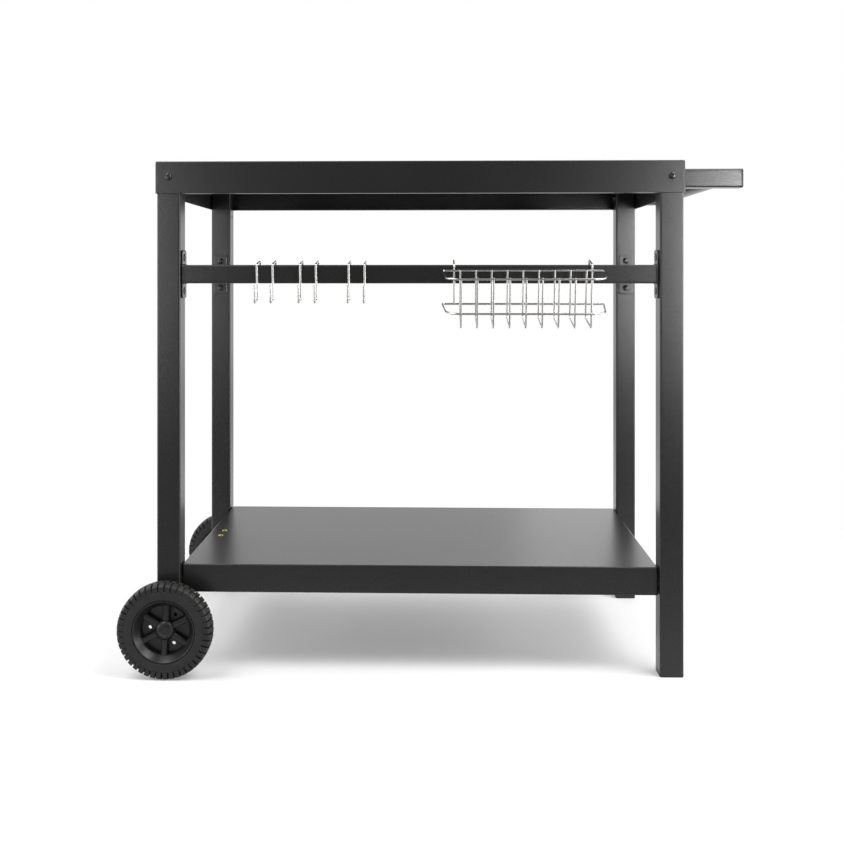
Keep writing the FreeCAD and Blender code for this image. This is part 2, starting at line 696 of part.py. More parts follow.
def rim(label, place):
    """A moulded rim: ring, web, hub, bevelled spokes and through holes in alternate windows."""
    body = new_body(label)
    web_top = "(Sizes.web_base + Sizes.web_thickness)"
    ring_outer = "(Sizes.tyre_bead_radius - Sizes.tyre_fit)"
    ring_top = "(Sizes.wheel_width - Sizes.rim_inset)"
    ring_sides = "Sizes.lug_count"
    hub_sides = "Sizes.cap_sides"
    prism(body, "Additive", ring_sides, ring_outer, "Sizes.rim_inset", ring_top)
    prism(body, "Subtractive", ring_sides, "Sizes.rim_ring_radius", web_top, ring_top)
    prism(body, "Subtractive", ring_sides, "Sizes.rim_ring_radius", "Sizes.rim_inset", "Sizes.web_base")
    prism(body, "Additive", hub_sides, "Sizes.hub_radius", "0", "Sizes.hub_length")
    section = sketch_across(body, "X", "Sizes.hub_recess_radius + Sizes.spoke_bite")
    half = "Sizes.spoke_width / 2"
    shoulder = "Sizes.spoke_top - Sizes.spoke_bevel"
    polygon(section, [
        (f"-{half}", "Sizes.web_base"),
        (half, "Sizes.web_base"),
        (half, shoulder),
        (f"{half} - Sizes.spoke_bevel", "Sizes.spoke_top"),
        (f"-{half} + Sizes.spoke_bevel", "Sizes.spoke_top"),
        (f"-{half}", shoulder),
    ])
    spoke = pad(body, section, "Sizes.rim_ring_radius - Sizes.hub_recess_radius")
    repeat_round(body, spoke, "Sizes.spoke_count")
    prism(body, "Subtractive", hub_sides, "Sizes.hub_recess_radius", HUB_SEAT, "Sizes.hub_length")
    bore(body, "Z", "0", True, ("0", "0"), WHEEL_BORE, "Sizes.hub_length")
    half_step = "180 / Sizes.spoke_count"
    centre = (
        f"Sizes.window_hole_radius * cos({half_step})",
        f"Sizes.window_hole_radius * sin({half_step})",
    )
    hole = drill(body, "Z", web_top, False, [centre], "Sizes.window_hole_width", "Sizes.web_thickness")
    repeat_round(body, hole, "Sizes.window_hole_count")
    keep(body, place)


def faceted_turning(label, sides, profile):
    """A closed outline of radius and height pairs, turned about Z in even flat facets."""
    count = int(number(sides))
    turns = [2 * math.pi * index / count for index in range(count)]
    rings = []
    for radius, height in profile:
        reach = number(radius)
        level = number(height)
        ring = [FreeCAD.Vector(reach * math.cos(turn), reach * math.sin(turn), level) for turn in turns]
        rings.append(ring)
    faces = []
    for near, far in zip(rings, rings[1:] + rings[:1]):
        for index in range(count):
            following = (index + 1) % count
            corners = [near[index], near[following], far[following], far[index], near[index]]
            faces.append(Part.Face(Part.makePolygon(corners)))
    shell = Part.makeShell(faces)
    shell.sewShape()
    solid = Part.makeSolid(shell)
    if solid.Volume < 0:
        solid.reverse()
    feature = doc.addObject("Part::Feature", label)
    feature.Label = label
    feature.Shape = solid.removeSplitter()
    return feature


def lug_gaps(label):
    """Wedge-shaped gaps that part the lugs of both shoulders."""
    wedge = doc.addObject("Part::Wedge", f"{label}_gap")
    reach = f"({TYRE_CROWN} + Sizes.lug_depth)"
    sizes = {
        "Xmin": "Sizes.lug_root_radius", "Xmax": reach, "X2min": TYRE_CROWN, "X2max": reach,
        "Ymin": "0", "Ymax": "Sizes.lug_depth",
        "Zmin": "-Sizes.lug_gap / 2", "Zmax": "Sizes.lug_gap / 2",
        "Z2min": "-Sizes.lug_gap / 2", "Z2max": "Sizes.lug_gap / 2",
    }
    for name, expression in sizes.items():
        wedge.setExpression(name, expression)
    doc.recompute()
    count = int(number("Sizes.lug_count"))
    axis = FreeCAD.Vector(0, 0, 1)
    near = FreeCAD.Placement(FreeCAD.Vector(), FreeCAD.Rotation(FreeCAD.Vector(1, 0, 0), 90))
    far_face = FreeCAD.Vector(0, 0, number("Sizes.wheel_width"))
    far = FreeCAD.Placement(far_face, FreeCAD.Rotation(FreeCAD.Vector(1, 0, 0), -90))
    copies = []
    for index in range(count):
        spin = FreeCAD.Placement(FreeCAD.Vector(), FreeCAD.Rotation(axis, 360 * index / count))
        for side in (near, far):
            copy = wedge.Shape.copy()
            copy.Placement = spin.multiply(side)
            copies.append(copy)
    gaps = doc.addObject("Part::Feature", f"{label}_gaps")
    gaps.Shape = Part.makeCompound(copies)
    return gaps


def tyre(label, place):
    """A solid tyre with flat sides, sloping shoulders and a row of lugs on each of them."""
    crown_end = "Sizes.wheel_width - Sizes.tyre_shoulder_width"
    carcass = faceted_turning(f"{label}_carcass", "Sizes.lug_count", [
        ("Sizes.tyre_bead_radius", "0"),
        ("Sizes.tyre_shoulder_radius", "0"),
        (TYRE_CROWN, "Sizes.tyre_shoulder_width"),
        (TYRE_CROWN, crown_end),
        ("Sizes.tyre_shoulder_radius", "Sizes.wheel_width"),
        ("Sizes.tyre_bead_radius", "Sizes.wheel_width"),
    ])
    lugged = doc.addObject("Part::Cut", label)
    lugged.Label = label
    lugged.Base = carcass
    lugged.Tool = lug_gaps(label)
    keep(lugged, place)


def hub_cap(label, place):
    """A domed cap with a hollow plug that fits the hub's recess and clears the axle's end."""
    seat = "Sizes.hub_length"
    plug = "(Sizes.hub_recess_radius - Sizes.cap_plug_fit)"
    hollow = f"({plug} - Sizes.cap_plug_wall)"
    cap = faceted_turning(f"{label}_shell", "Sizes.cap_sides", [
        (hollow, f"{seat} - Sizes.cap_plug_depth"),
        (plug, f"{seat} - Sizes.cap_plug_depth"),
        (plug, seat),
        ("Sizes.hub_radius", seat),
        ("Sizes.hub_radius", f"{seat} + Sizes.cap_lip"),
        ("Sizes.cap_brow_radius", f"{seat} + Sizes.cap_brow_rise"),
        (hollow, f"{seat} + Sizes.cap_brow_rise"),
    ])
    crown = doc.addObject("Part::Prism", f"{label}_crown")
    crown.setExpression("Polygon", "Sizes.cap_sides")
    crown.setExpression("Circumradius", "Sizes.cap_brow_radius")
    crown.setExpression("Height", "Sizes.cap_rise - Sizes.cap_brow_rise")
    crown.setExpression("Placement.Base.z", f"{seat} + Sizes.cap_brow_rise")
    closed = doc.addObject("Part::Fuse", label)
    closed.Label = label
    closed.Base = cap
    closed.Tool = crown
    closed.Refine = True
    keep(closed, place)


def wheels():
    for name, depth in (("front", -1), ("back", 1)):
        place = wheel_place(depth)
        rim(f"{name}_rim", place)
        tyre(f"{name}_tyre", place)
        hub_cap(f"{name}_hub_cap", place)


def on_rail(along, ahead, above, tilt):
    """A point set ahead of and above the hook rail's centre line, tipped forwards by the tilt."""
    lean = math.radians(tilt)
    forward = ahead * math.cos(lean) + above * math.sin(lean)
    rise = above * math.cos(lean) - ahead * math.sin(lean)
    return FreeCAD.Vector(along, -number(LEG_Y) - forward, number(RAIL_Z) + rise)


def rail_reach(tilt, wire):
    """How far a wire's centre line stays from the rail's when it hangs over it, tipped by the tilt."""
    lean = math.radians(tilt)
    half = number("Sizes.rail_width") / 2
    corner = half - number("Sizes.tube_corner")
    return half * math.cos(lean) + corner * math.sin(lean) + number("Sizes.hang_clearance") + wire / 2


def bent_wire(points, bends, diameter, closed=False):
    """A wire along straight runs, with one bend for each corner as one or more chords of its arc."""
    count = len(points)
    chord = number("Sizes.bend_chord")
    route = []
    for index, corner in enumerate(points):
        if not closed and index in (0, count - 1):
            route.append(corner)
            continue
        arriving = (corner - points[index - 1]).normalize()
        leaving = (points[(index + 1) % count] - corner).normalize()
        half_turn = arriving.getAngle(leaving) / 2
        setback = bends[index] * math.tan(half_turn)
        inward = (leaving - arriving).normalize()
        crest = corner + inward * (bends[index] / math.cos(half_turn) - bends[index])
        arc = Part.Arc(corner - arriving * setback, crest, corner + leaving * setback).toShape()
        route += arc.discretize(Number=math.ceil(arc.Length / chord) + 1)
    if closed:
        middle = (route[-1] + route[0]) * 0.5
        route = [middle] + route + [middle]
    path = Part.makePolygon(route)
    section = wire_section(route[0], route[1], diameter)
    solid = path.makePipeShell([section], True, False, MITRED)
    expected = Part.Face(section).Area * path.Length
    if abs(solid.Volume - expected) > VOLUME_SLACK * expected:
        raise RuntimeError("a wire's volume differs from its section times its length")
    return solid


def wire_section(start, following, diameter):
    """An even polygon square to a wire's first run."""
    sides = int(number("Sizes.wire_sides"))
    heading = (following - start).normalize()
    upright = FreeCAD.Vector(0, 0, 1) if abs(heading.x) > abs(heading.z) else FreeCAD.Vector(1, 0, 0)
    across = heading.cross(upright).normalize()
    corners = []
    for index in range(sides + 1):
        turn = FreeCAD.Rotation(heading, 360 * index / sides)
        corners.append(start + turn.multVec(across) * (diameter / 2))
    return Part.makePolygon(corners)


def wire_piece(label, solids):
    feature = doc.addObject("Part::Feature", label)
    feature.Label = label
    feature.Shape = solids[0] if len(solids) == 1 else Part.makeCompound(solids)
    return keep(feature)


def double_hook(index):
    """One wire bent into two utensil hooks side by side, joined behind the rail."""
    place = number(f"Sizes.hook_{index}_place")
    wire = number("Sizes.hook_wire")
    tilt = number("Sizes.hook_tilt")
    reach = rail_reach(tilt, wire)
    prong = reach + number("Sizes.hook_throat")
    drop = -number("Sizes.hook_drop")
    tail = -number("Sizes.hook_tail")
    arm = [
        (prong, drop + number("Sizes.hook_prong")),
        (prong, drop),
        (reach, drop),
        (reach, reach),
        (-reach, reach),
        (-reach, tail),
    ]
    half = number("Sizes.hook_spacing") / 2
    points = [on_rail(place - half, ahead, above, tilt) for ahead, above in arm]
    points += [on_rail(place + half, ahead, above, tilt) for ahead, above in reversed(arm)]
    bends = [number("Sizes.hook_bend")] * len(points)
    wire_piece(f"double_hook_{index}", [bent_wire(points, bends, wire)])


def basket_lines():
    """How far ahead of the rail the basket's hangers, hoop backs and ribs lie, and its heights."""
    hoop = number("Sizes.hoop_wire")
    weld = number("Sizes.weld_gap")
    rib_step = (hoop + number("Sizes.rib_wire")) / 2 + weld
    hanger = rail_reach(number("Sizes.basket_tilt"), number("Sizes.hanger_wire"))
    back = hanger + (hoop + number("Sizes.hanger_wire")) / 2 + weld
    front = back + number("Sizes.basket_depth")
    upper = number("Sizes.basket_hoop_height")
    return {
        "hanger": hanger,
        "back": back,
        "front": front,
        "rib_back": back + rib_step,
        "rib_front": front - rib_step,
        "upper": upper,
        "lower": upper - number("Sizes.basket_hoop_spacing"),
        "floor": upper - number("Sizes.basket_floor_drop"),
    }


def basket():
    """Two hoops with U-shaped ribs inside them, carried over the rail by two hangers."""
    line = basket_lines()
    tilt = number("Sizes.basket_tilt")
    middle = number("Sizes.basket_place")
    half = number("Sizes.basket_length") / 2
    front_half = half - number("Sizes.basket_end_slant")
    back_bend = number("Sizes.basket_back_bend")
    front_bend = number("Sizes.basket_front_bend")
    outline = [(-half, "back"), (half, "back"), (front_half, "front"), (-front_half, "front")]
    bends = [back_bend, back_bend, front_bend, front_bend]
    for level in ("upper", "lower"):
        points = [on_rail(middle + along, line[ahead], line[level], tilt) for along, ahead in outline]
        hoop = bent_wire(points, bends, number("Sizes.hoop_wire"), closed=True)
        wire_piece(f"basket_{level}_hoop", [hoop])
    ribs = []
    rib_count = int(number("Sizes.rib_count"))
    rib_bends = [number("Sizes.rib_bend")] * 4
    top = line["upper"] + number("Sizes.hoop_wire") / 2
    floor = line["floor"]
    course = [("rib_back", top), ("rib_back", floor), ("rib_front", floor), ("rib_front", top)]
    for index in range(rib_count):
        along = middle + (index - (rib_count - 1) / 2) * number("Sizes.rib_pitch")
        points = [on_rail(along, line[ahead], above, tilt) for ahead, above in course]
        ribs.append(bent_wire(points, rib_bends, number("Sizes.rib_wire")))
    wire_piece("basket_ribs", ribs)
    hangers = []
    hanger_bends = [number("Sizes.hanger_bend")] * 4
    bridge = line["hanger"]
    foot = line["lower"] - number("Sizes.hoop_wire") / 2
    course = [(bridge, foot), (bridge, bridge), (-bridge, bridge), (-bridge, -number("Sizes.hanger_tail"))]
    for side in (-1, 1):
        along = middle + side * number("Sizes.hanger_spacing") / 2
        points = [on_rail(along, ahead, above, tilt) for ahead, above in course]
        hangers.append(bent_wire(points, hanger_bends, number("Sizes.hanger_wire")))
    wire_piece("basket_hangers", hangers)


def table_origin():
    """The middle of the whole table's box on the floor."""
    left = -number(LEG_X) - number("Sizes.wheel_diameter") / 2
    right = number(HANDLE_ROOT_X) + number("Sizes.handle_reach")
    line = basket_lines()
    rim_point = on_rail(0, line["front"], line["upper"], number("Sizes.basket_tilt"))
    front = rim_point.y - number("Sizes.hoop_wire") / 2
    back = number(WHEEL_INNER_Y) + number("Sizes.wheel_width")
    return FreeCAD.Vector((left + right) / 2, (front + back) / 2, 0)


def build():
    worktop()
    for corner, (side, _) in CORNERS.items():
        if side < 0:
            leg(corner, "Sizes.short_leg_end")
            leg_plug(f"leg_plug_{corner}", corner, "(Sizes.short_leg_end - Sizes.short_plug_flange)",
                     "Sizes.short_plug_flange", "Sizes.short_plug_stem")
        else:
            leg(corner, "Sizes.foot_flange")
            leg_plug(f"foot_{corner}", corner, "0", "Sizes.foot_flange", "Sizes.foot_stem")
    rails()
    lower_shelf()
    handle()
    fasteners()
    axle()
    wheels()
    for index in (1, 2, 3):
        double_hook(index)
    basket()
    origin = FreeCAD.Placement(table_origin() * -1, FreeCAD.Rotation())
    for piece, place in pieces:
        piece.Placement = origin.multiply(place)
    doc.recompute()


def write_steps():
    """Check every object and solid, then write each piece to its own file."""
    for item in doc.Objects:
        if "Invalid" in item.State or "Error" in item.State:
            raise RuntimeError(f"{item.Label}: {item.State}")
    for piece, _ in pieces:
        if piece.Shape.isNull() or not piece.Shape.isValid() or not piece.Shape.Solids:
            raise RuntimeError(f"{piece.Label}: no valid solid")
    os.makedirs("parts", exist_ok=True)
    for piece, _ in pieces:
        piece.Shape.exportStep(os.path.join("parts", f"{piece.Label}.step"))
        print(piece.Label, len(piece.Shape.Solids), round(piece.Shape.Volume, 1))


build()
write_steps()
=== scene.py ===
# %% [markdown]
# This lesson dresses a wheeled plancha table. The imported CAD model is loaded first as a fixed frame, in
# metres with Z up: it says where every piece is, and the pieces made here stand in the same places.

# %% Load the imported table
import json
import math

import bmesh
import bpy
from mathutils import Matrix, Vector


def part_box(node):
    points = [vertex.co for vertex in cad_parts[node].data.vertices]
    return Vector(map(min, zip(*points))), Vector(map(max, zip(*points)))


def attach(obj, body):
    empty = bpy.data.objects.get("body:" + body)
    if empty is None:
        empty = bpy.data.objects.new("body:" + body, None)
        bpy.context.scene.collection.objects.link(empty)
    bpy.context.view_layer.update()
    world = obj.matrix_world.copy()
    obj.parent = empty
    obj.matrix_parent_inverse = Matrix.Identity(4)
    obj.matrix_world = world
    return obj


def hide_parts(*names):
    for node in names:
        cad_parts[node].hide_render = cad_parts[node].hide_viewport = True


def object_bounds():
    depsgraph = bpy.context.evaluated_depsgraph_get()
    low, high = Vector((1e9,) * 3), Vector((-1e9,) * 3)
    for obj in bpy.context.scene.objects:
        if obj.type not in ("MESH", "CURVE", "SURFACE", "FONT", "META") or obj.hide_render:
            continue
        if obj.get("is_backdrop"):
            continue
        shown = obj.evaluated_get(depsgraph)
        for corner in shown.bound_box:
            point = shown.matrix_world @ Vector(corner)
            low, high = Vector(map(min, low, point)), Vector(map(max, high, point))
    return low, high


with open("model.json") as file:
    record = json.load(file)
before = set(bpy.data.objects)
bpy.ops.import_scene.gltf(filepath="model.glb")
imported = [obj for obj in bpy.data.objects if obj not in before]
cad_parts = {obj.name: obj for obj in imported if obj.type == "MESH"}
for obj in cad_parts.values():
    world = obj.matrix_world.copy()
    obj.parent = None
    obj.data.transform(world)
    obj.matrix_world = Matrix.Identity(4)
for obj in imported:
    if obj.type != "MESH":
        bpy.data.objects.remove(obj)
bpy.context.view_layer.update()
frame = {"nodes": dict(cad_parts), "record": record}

MM = 0.001
scene = bpy.context.scene
nodes = frame["nodes"]

# %% [markdown]
# Several finishes share two effects: a fine grain, as powder coat and moulded plastic have, and a soft
# drift of tone over a larger area. Each is a shader group with named inputs, so that a material
# places it with its own values. Groups put out only masks, values and heights, and the shader itself
# stays in the material.

# %% Helpers for node trees
FLOAT = "NodeSocketFloat"
VECTOR = "NodeSocketVector"


def shader_group(name, inputs, outputs):
    """An empty shader group with its sockets, its input node and its output node."""
    tree = bpy.data.node_groups.new(name, "ShaderNodeTree")
    for label, kind, value in inputs:
        socket = tree.interface.new_socket(label, in_out="INPUT", socket_type=kind)
        if value is not None:
            socket.default_value = value
    for label in outputs:
        tree.interface.new_socket(label, in_out="OUTPUT", socket_type=FLOAT)
    return tree, tree.nodes.new("NodeGroupInput"), tree.nodes.new("NodeGroupOutput")


def feed(tree, socket, value):
    """Set a socket to a number, or link it to another node's output."""
    if isinstance(value, (int, float)):
        socket.default_value = value
    else:
        tree.links.new(value, socket)


def map_range(tree, value, low, high, to_low, to_high):
    """A clamped Map Range node. Its ends are numbers, or sockets to link."""
    node = tree.nodes.new("ShaderNodeMapRange")
    tree.links.new(value, node.inputs["Value"])
    ends = {"From Min": low, "From Max": high, "To Min": to_low, "To Max": to_high}
    for label, end in ends.items():
        feed(tree, node.inputs[label], end)
    return node.outputs["Result"]


def math_node(tree, operation, *values):
    """A Math node. Its values are numbers, or sockets to link."""
    node = tree.nodes.new("ShaderNodeMath")
    node.operation = operation
    for socket, value in zip(node.inputs, values):
        feed(tree, socket, value)
    return node.outputs[0]


def mix_colours(tree, factor, first, second):
    """A colour that goes from the first to the second as the factor goes from 0 to 1."""
    node = tree.nodes.new("ShaderNodeMix")
    node.data_type = "RGBA"
    node.inputs["A"].default_value = (*first, 1.0)
    node.inputs["B"].default_value = (*second, 1.0)
    tree.links.new(factor, node.inputs["Factor"])
    return node.outputs["Result"]


def noise(tree, vector, scale, detail, roughness=0.5):
    """A noise texture whose scale is a number or a socket to link."""
    node = tree.nodes.new("ShaderNodeTexNoise")
    tree.links.new(vector, node.inputs["Vector"])
    feed(tree, node.inputs["Scale"], scale)
    node.inputs["Detail"].default_value = detail
    node.inputs["Roughness"].default_value = roughness
    return node.outputs["Fac"]


print("node helpers", [helper.__name__ for helper in (map_range, math_node, noise)])

# %% Shader groups for grain and drift
HEIGHT_SPAN = (0.32, 0.68)
GLOSS_SPAN = (0.35, 0.65)
FLECK_SPAN = (0.52, 0.72)
DRIFT_SPAN = (0.3, 0.7)
grain_tree, grain_in, grain_out = shader_group(
    "fine_grain",
    [("Vector", VECTOR, None), ("Grains per Metre", FLOAT, 900.0), ("Gloss Low", FLOAT, 0.35),
     ("Gloss High", FLOAT, 0.5)],
    ["Height", "Roughness", "Fleck"],
)
pebble = noise(grain_tree, grain_in.outputs["Vector"], grain_in.outputs["Grains per Metre"], 3.0, 0.6)
grain_tree.links.new(map_range(grain_tree, pebble, *HEIGHT_SPAN, 0.0, 1.0), grain_out.inputs["Height"])
gloss_ends = (grain_in.outputs["Gloss Low"], grain_in.outputs["Gloss High"])
gloss = map_range(grain_tree, pebble, *GLOSS_SPAN, *gloss_ends)
grain_tree.links.new(gloss, grain_out.inputs["Roughness"])
grain_tree.links.new(map_range(grain_tree, pebble, *FLECK_SPAN, 0.0, 1.0), grain_out.inputs["Fleck"])

drift_tree, drift_in, drift_out = shader_group(
    "soft_drift",
    [("Vector", VECTOR, None), ("Patches per Metre", FLOAT, 9.0)],
    ["Mask"],
)
cloud = noise(drift_tree, drift_in.outputs["Vector"], drift_in.outputs["Patches per Metre"], 2.0)
drift_tree.links.new(map_range(drift_tree, cloud, *DRIFT_SPAN, 0.0, 1.0), drift_out.inputs["Mask"])
print("shader groups", [tree.name for tree in (grain_tree, drift_tree)])

# %% [markdown]
# The frame is steel with a black powder coat: nearly black in itself, with a fine orange-peel surface.
# Most of what is seen on it is a soft reflection of the white studio, strongest where it is seen at a low
# angle. So its colour stays dark, its gloss is in the middle, and the grain feeds a bump. The moulded
# plastics and the tyre's rubber are made in the same way with coarser or duller grain. Wires are bright
# plated steel.

# %% A finish with grain and drift
DRIFT_SHARE = 0.5
FLECK_SHARE = 0.5


def finish_material(name, dark, light, grains, gloss, bump, patches, metallic=0.0, ior=1.5):
    """A Principled finish with grain in its gloss, colour and bump, and a soft drift between two tones."""
    material = bpy.data.materials.new(name)
    material.use_nodes = True
    tree = material.node_tree
    shader = tree.nodes["Principled BSDF"]
    shader.inputs["Metallic"].default_value = metallic
    shader.inputs["IOR"].default_value = ior
    place = tree.nodes.new("ShaderNodeTexCoord").outputs["Object"]
    grain = tree.nodes.new("ShaderNodeGroup")
    grain.node_tree = grain_tree
    grain.inputs["Grains per Metre"].default_value = grains
    grain.inputs["Gloss Low"].default_value = gloss[0]
    grain.inputs["Gloss High"].default_value = gloss[1]
    tree.links.new(place, grain.inputs["Vector"])
    tree.links.new(grain.outputs["Roughness"], shader.inputs["Roughness"])
    drift = tree.nodes.new("ShaderNodeGroup")
    drift.node_tree = drift_tree
    drift.inputs["Patches per Metre"].default_value = patches
    tree.links.new(place, drift.inputs["Vector"])
    speck = math_node(tree, "MULTIPLY", grain.outputs["Fleck"], FLECK_SHARE)
    blend = math_node(tree, "MULTIPLY_ADD", drift.outputs["Mask"], DRIFT_SHARE, speck)
    tree.links.new(mix_colours(tree, blend, dark, light), shader.inputs["Base Color"])
    relief = tree.nodes.new("ShaderNodeBump")
    relief.inputs["Strength"].default_value = bump[0]
    relief.inputs["Distance"].default_value = bump[1]
    tree.links.new(grain.outputs["Height"], relief.inputs["Height"])
    tree.links.new(relief.outputs["Normal"], shader.inputs["Normal"])
    return material


print("shares of drift and fleck in the tone", DRIFT_SHARE, FLECK_SHARE)

# %% Materials of every slot
FINISHES = {
    "powder_coat": finish_material(
        "powder_coat", dark=(0.0115, 0.0112, 0.0112), light=(0.018, 0.0175, 0.0175),
        grains=700, gloss=(0.27, 0.34), bump=(0.05, 0.0003), patches=7, ior=1.55),
    "tyre_rubber": finish_material(
        "tyre_rubber", dark=(0.014, 0.0128, 0.0125), light=(0.024, 0.022, 0.021),
        grains=900, gloss=(0.46, 0.64), bump=(0.3, 0.0003), patches=25),
    "wheel_plastic": finish_material(
        "wheel_plastic", dark=(0.0105, 0.0105, 0.011), light=(0.016, 0.016, 0.0165),
        grains=1400, gloss=(0.28, 0.38), bump=(0.12, 0.0002), patches=20),
    "plug_plastic": finish_material(
        "plug_plastic", dark=(0.016, 0.015, 0.0145), light=(0.03, 0.028, 0.026),
        grains=1200, gloss=(0.5, 0.62), bump=(0.2, 0.0002), patches=30),
    "chrome_wire": finish_material(
        "chrome_wire", dark=(0.62, 0.61, 0.60), light=(0.72, 0.715, 0.71),
        grains=500, gloss=(0.08, 0.16), bump=(0.05, 0.0001), patches=30, metallic=1.0),
    "dark_screws": finish_material(
        "dark_screw", dark=(0.06, 0.05, 0.042), light=(0.105, 0.088, 0.074),
        grains=1500, gloss=(0.18, 0.27), bump=(0.1, 0.0001), patches=60, metallic=1.0),
    "zinc_nuts": finish_material(
        "zinc_plate", dark=(0.10, 0.10, 0.105), light=(0.17, 0.17, 0.175),
        grains=800, gloss=(0.3, 0.42), bump=(0.1, 0.0001), patches=40, metallic=1.0),
    "brass_inserts": finish_material(
        "brass_insert", dark=(0.72, 0.55, 0.16), light=(0.86, 0.70, 0.27),
        grains=900, gloss=(0.28, 0.42), bump=(0.1, 0.0001), patches=60, metallic=1.0),
    "axle_steel": finish_material(
        "axle_steel", dark=(0.42, 0.42, 0.42), light=(0.52, 0.52, 0.52),
        grains=900, gloss=(0.25, 0.38), bump=(0.1, 0.0001), patches=30, metallic=1.0),
}
for part in frame["record"]["subparts"]:
    mesh = nodes[part["node"]].data
    mesh.materials.clear()
    mesh.materials.append(FINISHES[part["material_slot"]])
print("finishes", len(FINISHES))

# %% [markdown]
# Most of the table is folded sheet and square tube. Both can be drawn as a skin over a row of outlines,
# called rings here: a tube is a row of rounded squares, and a tray is a stack of rounded rectangles that
# turn in at the top. That keeps each radius exact, where a bevel on a box would give every edge the same
# one. Weighted normals then keep the wide faces flat in shading, with the turn only on the rounded
# corners.

# %% Rings, skins and finished pieces
CORNER_STEPS = 5
SHARP_ANGLE = math.radians(38)
SAME_POINT = 1e-7


def rounded_rectangle(half_across, half_up, radius):
    """Points round a rectangle about its centre, with arcs at its corners."""
    points = []
    for turn, (side, level) in enumerate(((1, 1), (-1, 1), (-1, -1), (1, -1))):
        for step in range(CORNER_STEPS + 1):
            angle = math.pi / 2 * (turn + step / CORNER_STEPS)
            points.append((
                side * (half_across - radius) + radius * math.cos(angle),
                level * (half_up - radius) + radius * math.sin(angle),
            ))
    return points


def circle_ring(radius, height, count):
    """Points round a level circle about Z."""
    angles = [2 * math.pi * index / count for index in range(count)]
    return [(radius * math.cos(angle), radius * math.sin(angle), height) for angle in angles]


def skin(bm, rings, closed=False, capped=False):
    """Faces between each ring and the next, round to the first if closed, or with flat ends if capped."""
    rows = [[bm.verts.new(point) for point in ring] for ring in rings]
    pairs = list(zip(rows, rows[1:]))
    if closed:
        pairs.append((rows[-1], rows[0]))
    for near, far in pairs:
        for index in range(len(near)):
            following = (index + 1) % len(near)
            bm.faces.new((near[index], near[following], far[following], far[index]))
    if capped:
        bm.faces.new(list(reversed(rows[0])))
        bm.faces.new(rows[-1])


def link_object(name, data):
    """A new object of the scene, at the origin."""
    item = bpy.data.objects.new(name, data)
    scene.collection.objects.link(item)
    return item


def link_mesh(name, bm):
    """A new object from a bmesh, with its faces turned outwards."""
    bmesh.ops.remove_doubles(bm, verts=bm.verts, dist=SAME_POINT)
    bmesh.ops.recalc_face_normals(bm, faces=bm.faces)
    mesh = bpy.data.meshes.new(name)
    bm.to_mesh(mesh)
    bm.free()
    return link_object(name, mesh)


def settle(piece):
    """Turn what a piece's modifiers give into its own plain mesh."""
    bpy.context.view_layer.update()
    graph = bpy.context.evaluated_depsgraph_get()
    plain = bpy.data.meshes.new_from_object(piece.evaluated_get(graph), depsgraph=graph)
    piece.modifiers.clear()
    piece.data = plain
    return piece


def even_shading(piece):
    """Smooth shading with crisp folds, and normals weighted towards the wide faces."""
    piece.data.polygons.foreach_set("use_smooth", [True] * len(piece.data.polygons))
    piece.data.set_sharp_from_angle(angle=SHARP_ANGLE)
    weigh = piece.modifiers.new("weigh_normals", "WEIGHTED_NORMAL")
    weigh.keep_sharp = True
    return settle(piece)


def dress(piece, slot, body, *replaced):
    """Give a finished mesh its material, its body and the CAD nodes that it stands for."""
    piece.data.materials.clear()
    piece.data.materials.append(FINISHES[slot])
    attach(piece, body)
    if replaced:
        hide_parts(*replaced)
    return piece


def along_axis(axis, across, up, distance):
    """A point from a section's two sides and the distance along an axis, in X, Y, Z order."""
    places = {0: (distance, across, up), 1: (across, distance, up), 2: (across, up, distance)}
    return places[axis]


def box_section(low, high, axis):
    """The centre and the half sizes of a box across an axis."""
    sides = [side for side in range(3) if side != axis]
    centre = [(low[side] + high[side]) / 2 for side in sides]
    half = [(high[side] - low[side]) / 2 for side in sides]
    return centre, half


def section_ring(centre, half, axis, distance, grow, corner):
    """A rounded rectangle across an axis, grown on all sides from a section's half sizes."""
    outline = rounded_rectangle(half[0] + grow, half[1] + grow, corner)
    return [along_axis(axis, centre[0] + across, centre[1] + up, distance) for across, up in outline]


print("points of one ring", 4 * (CORNER_STEPS + 1))

# %% [markdown]
# The legs and rails are drawn square tube. A leg's corners have a radius of a few millimetres that
# catches a thin line of light, and its cut ends show the wall. Each rail is welded to its end plates, so
# its skin flares a little where the weld is. Every tube takes its length and place from the box of its
# CAD node.

# %% Square tubes
TUBE_WALL = 1.5 * MM
TUBE_CORNER = 3.2 * MM
CUT_EDGE = 0.3 * MM
WELD_REACH = 3.0 * MM
WELD_RISE = 1.4 * MM
WELD_STEPS = 3


def square_tube(name, node, axis, welded=False):
    """A tube over the node's box along an axis, hollow and open at its ends."""
    low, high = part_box(node)
    centre, half = box_section(low, high, axis)
    start, end = low[axis], high[axis]

    def ring(grow, distance):
        return section_ring(centre, half, axis, distance, grow, TUBE_CORNER + grow)

    if welded:
        profile = []
        for step in range(WELD_STEPS + 1):
            share = step / WELD_STEPS
            profile.append((WELD_RISE * (1 - share) ** 2, WELD_REACH * share))
    else:
        profile = [(-CUT_EDGE, 0), (0, CUT_EDGE)]
    rings = [ring(grow, start + reach) for grow, reach in profile]
    rings += [ring(grow, end - reach) for grow, reach in reversed(profile)]
    rings += [ring(-TUBE_WALL, end), ring(-TUBE_WALL, start)]
    bm = bmesh.new()
    skin(bm, rings, closed=True)
    return link_mesh(name, bm)


print("tube wall in millimetres", TUBE_WALL / MM)

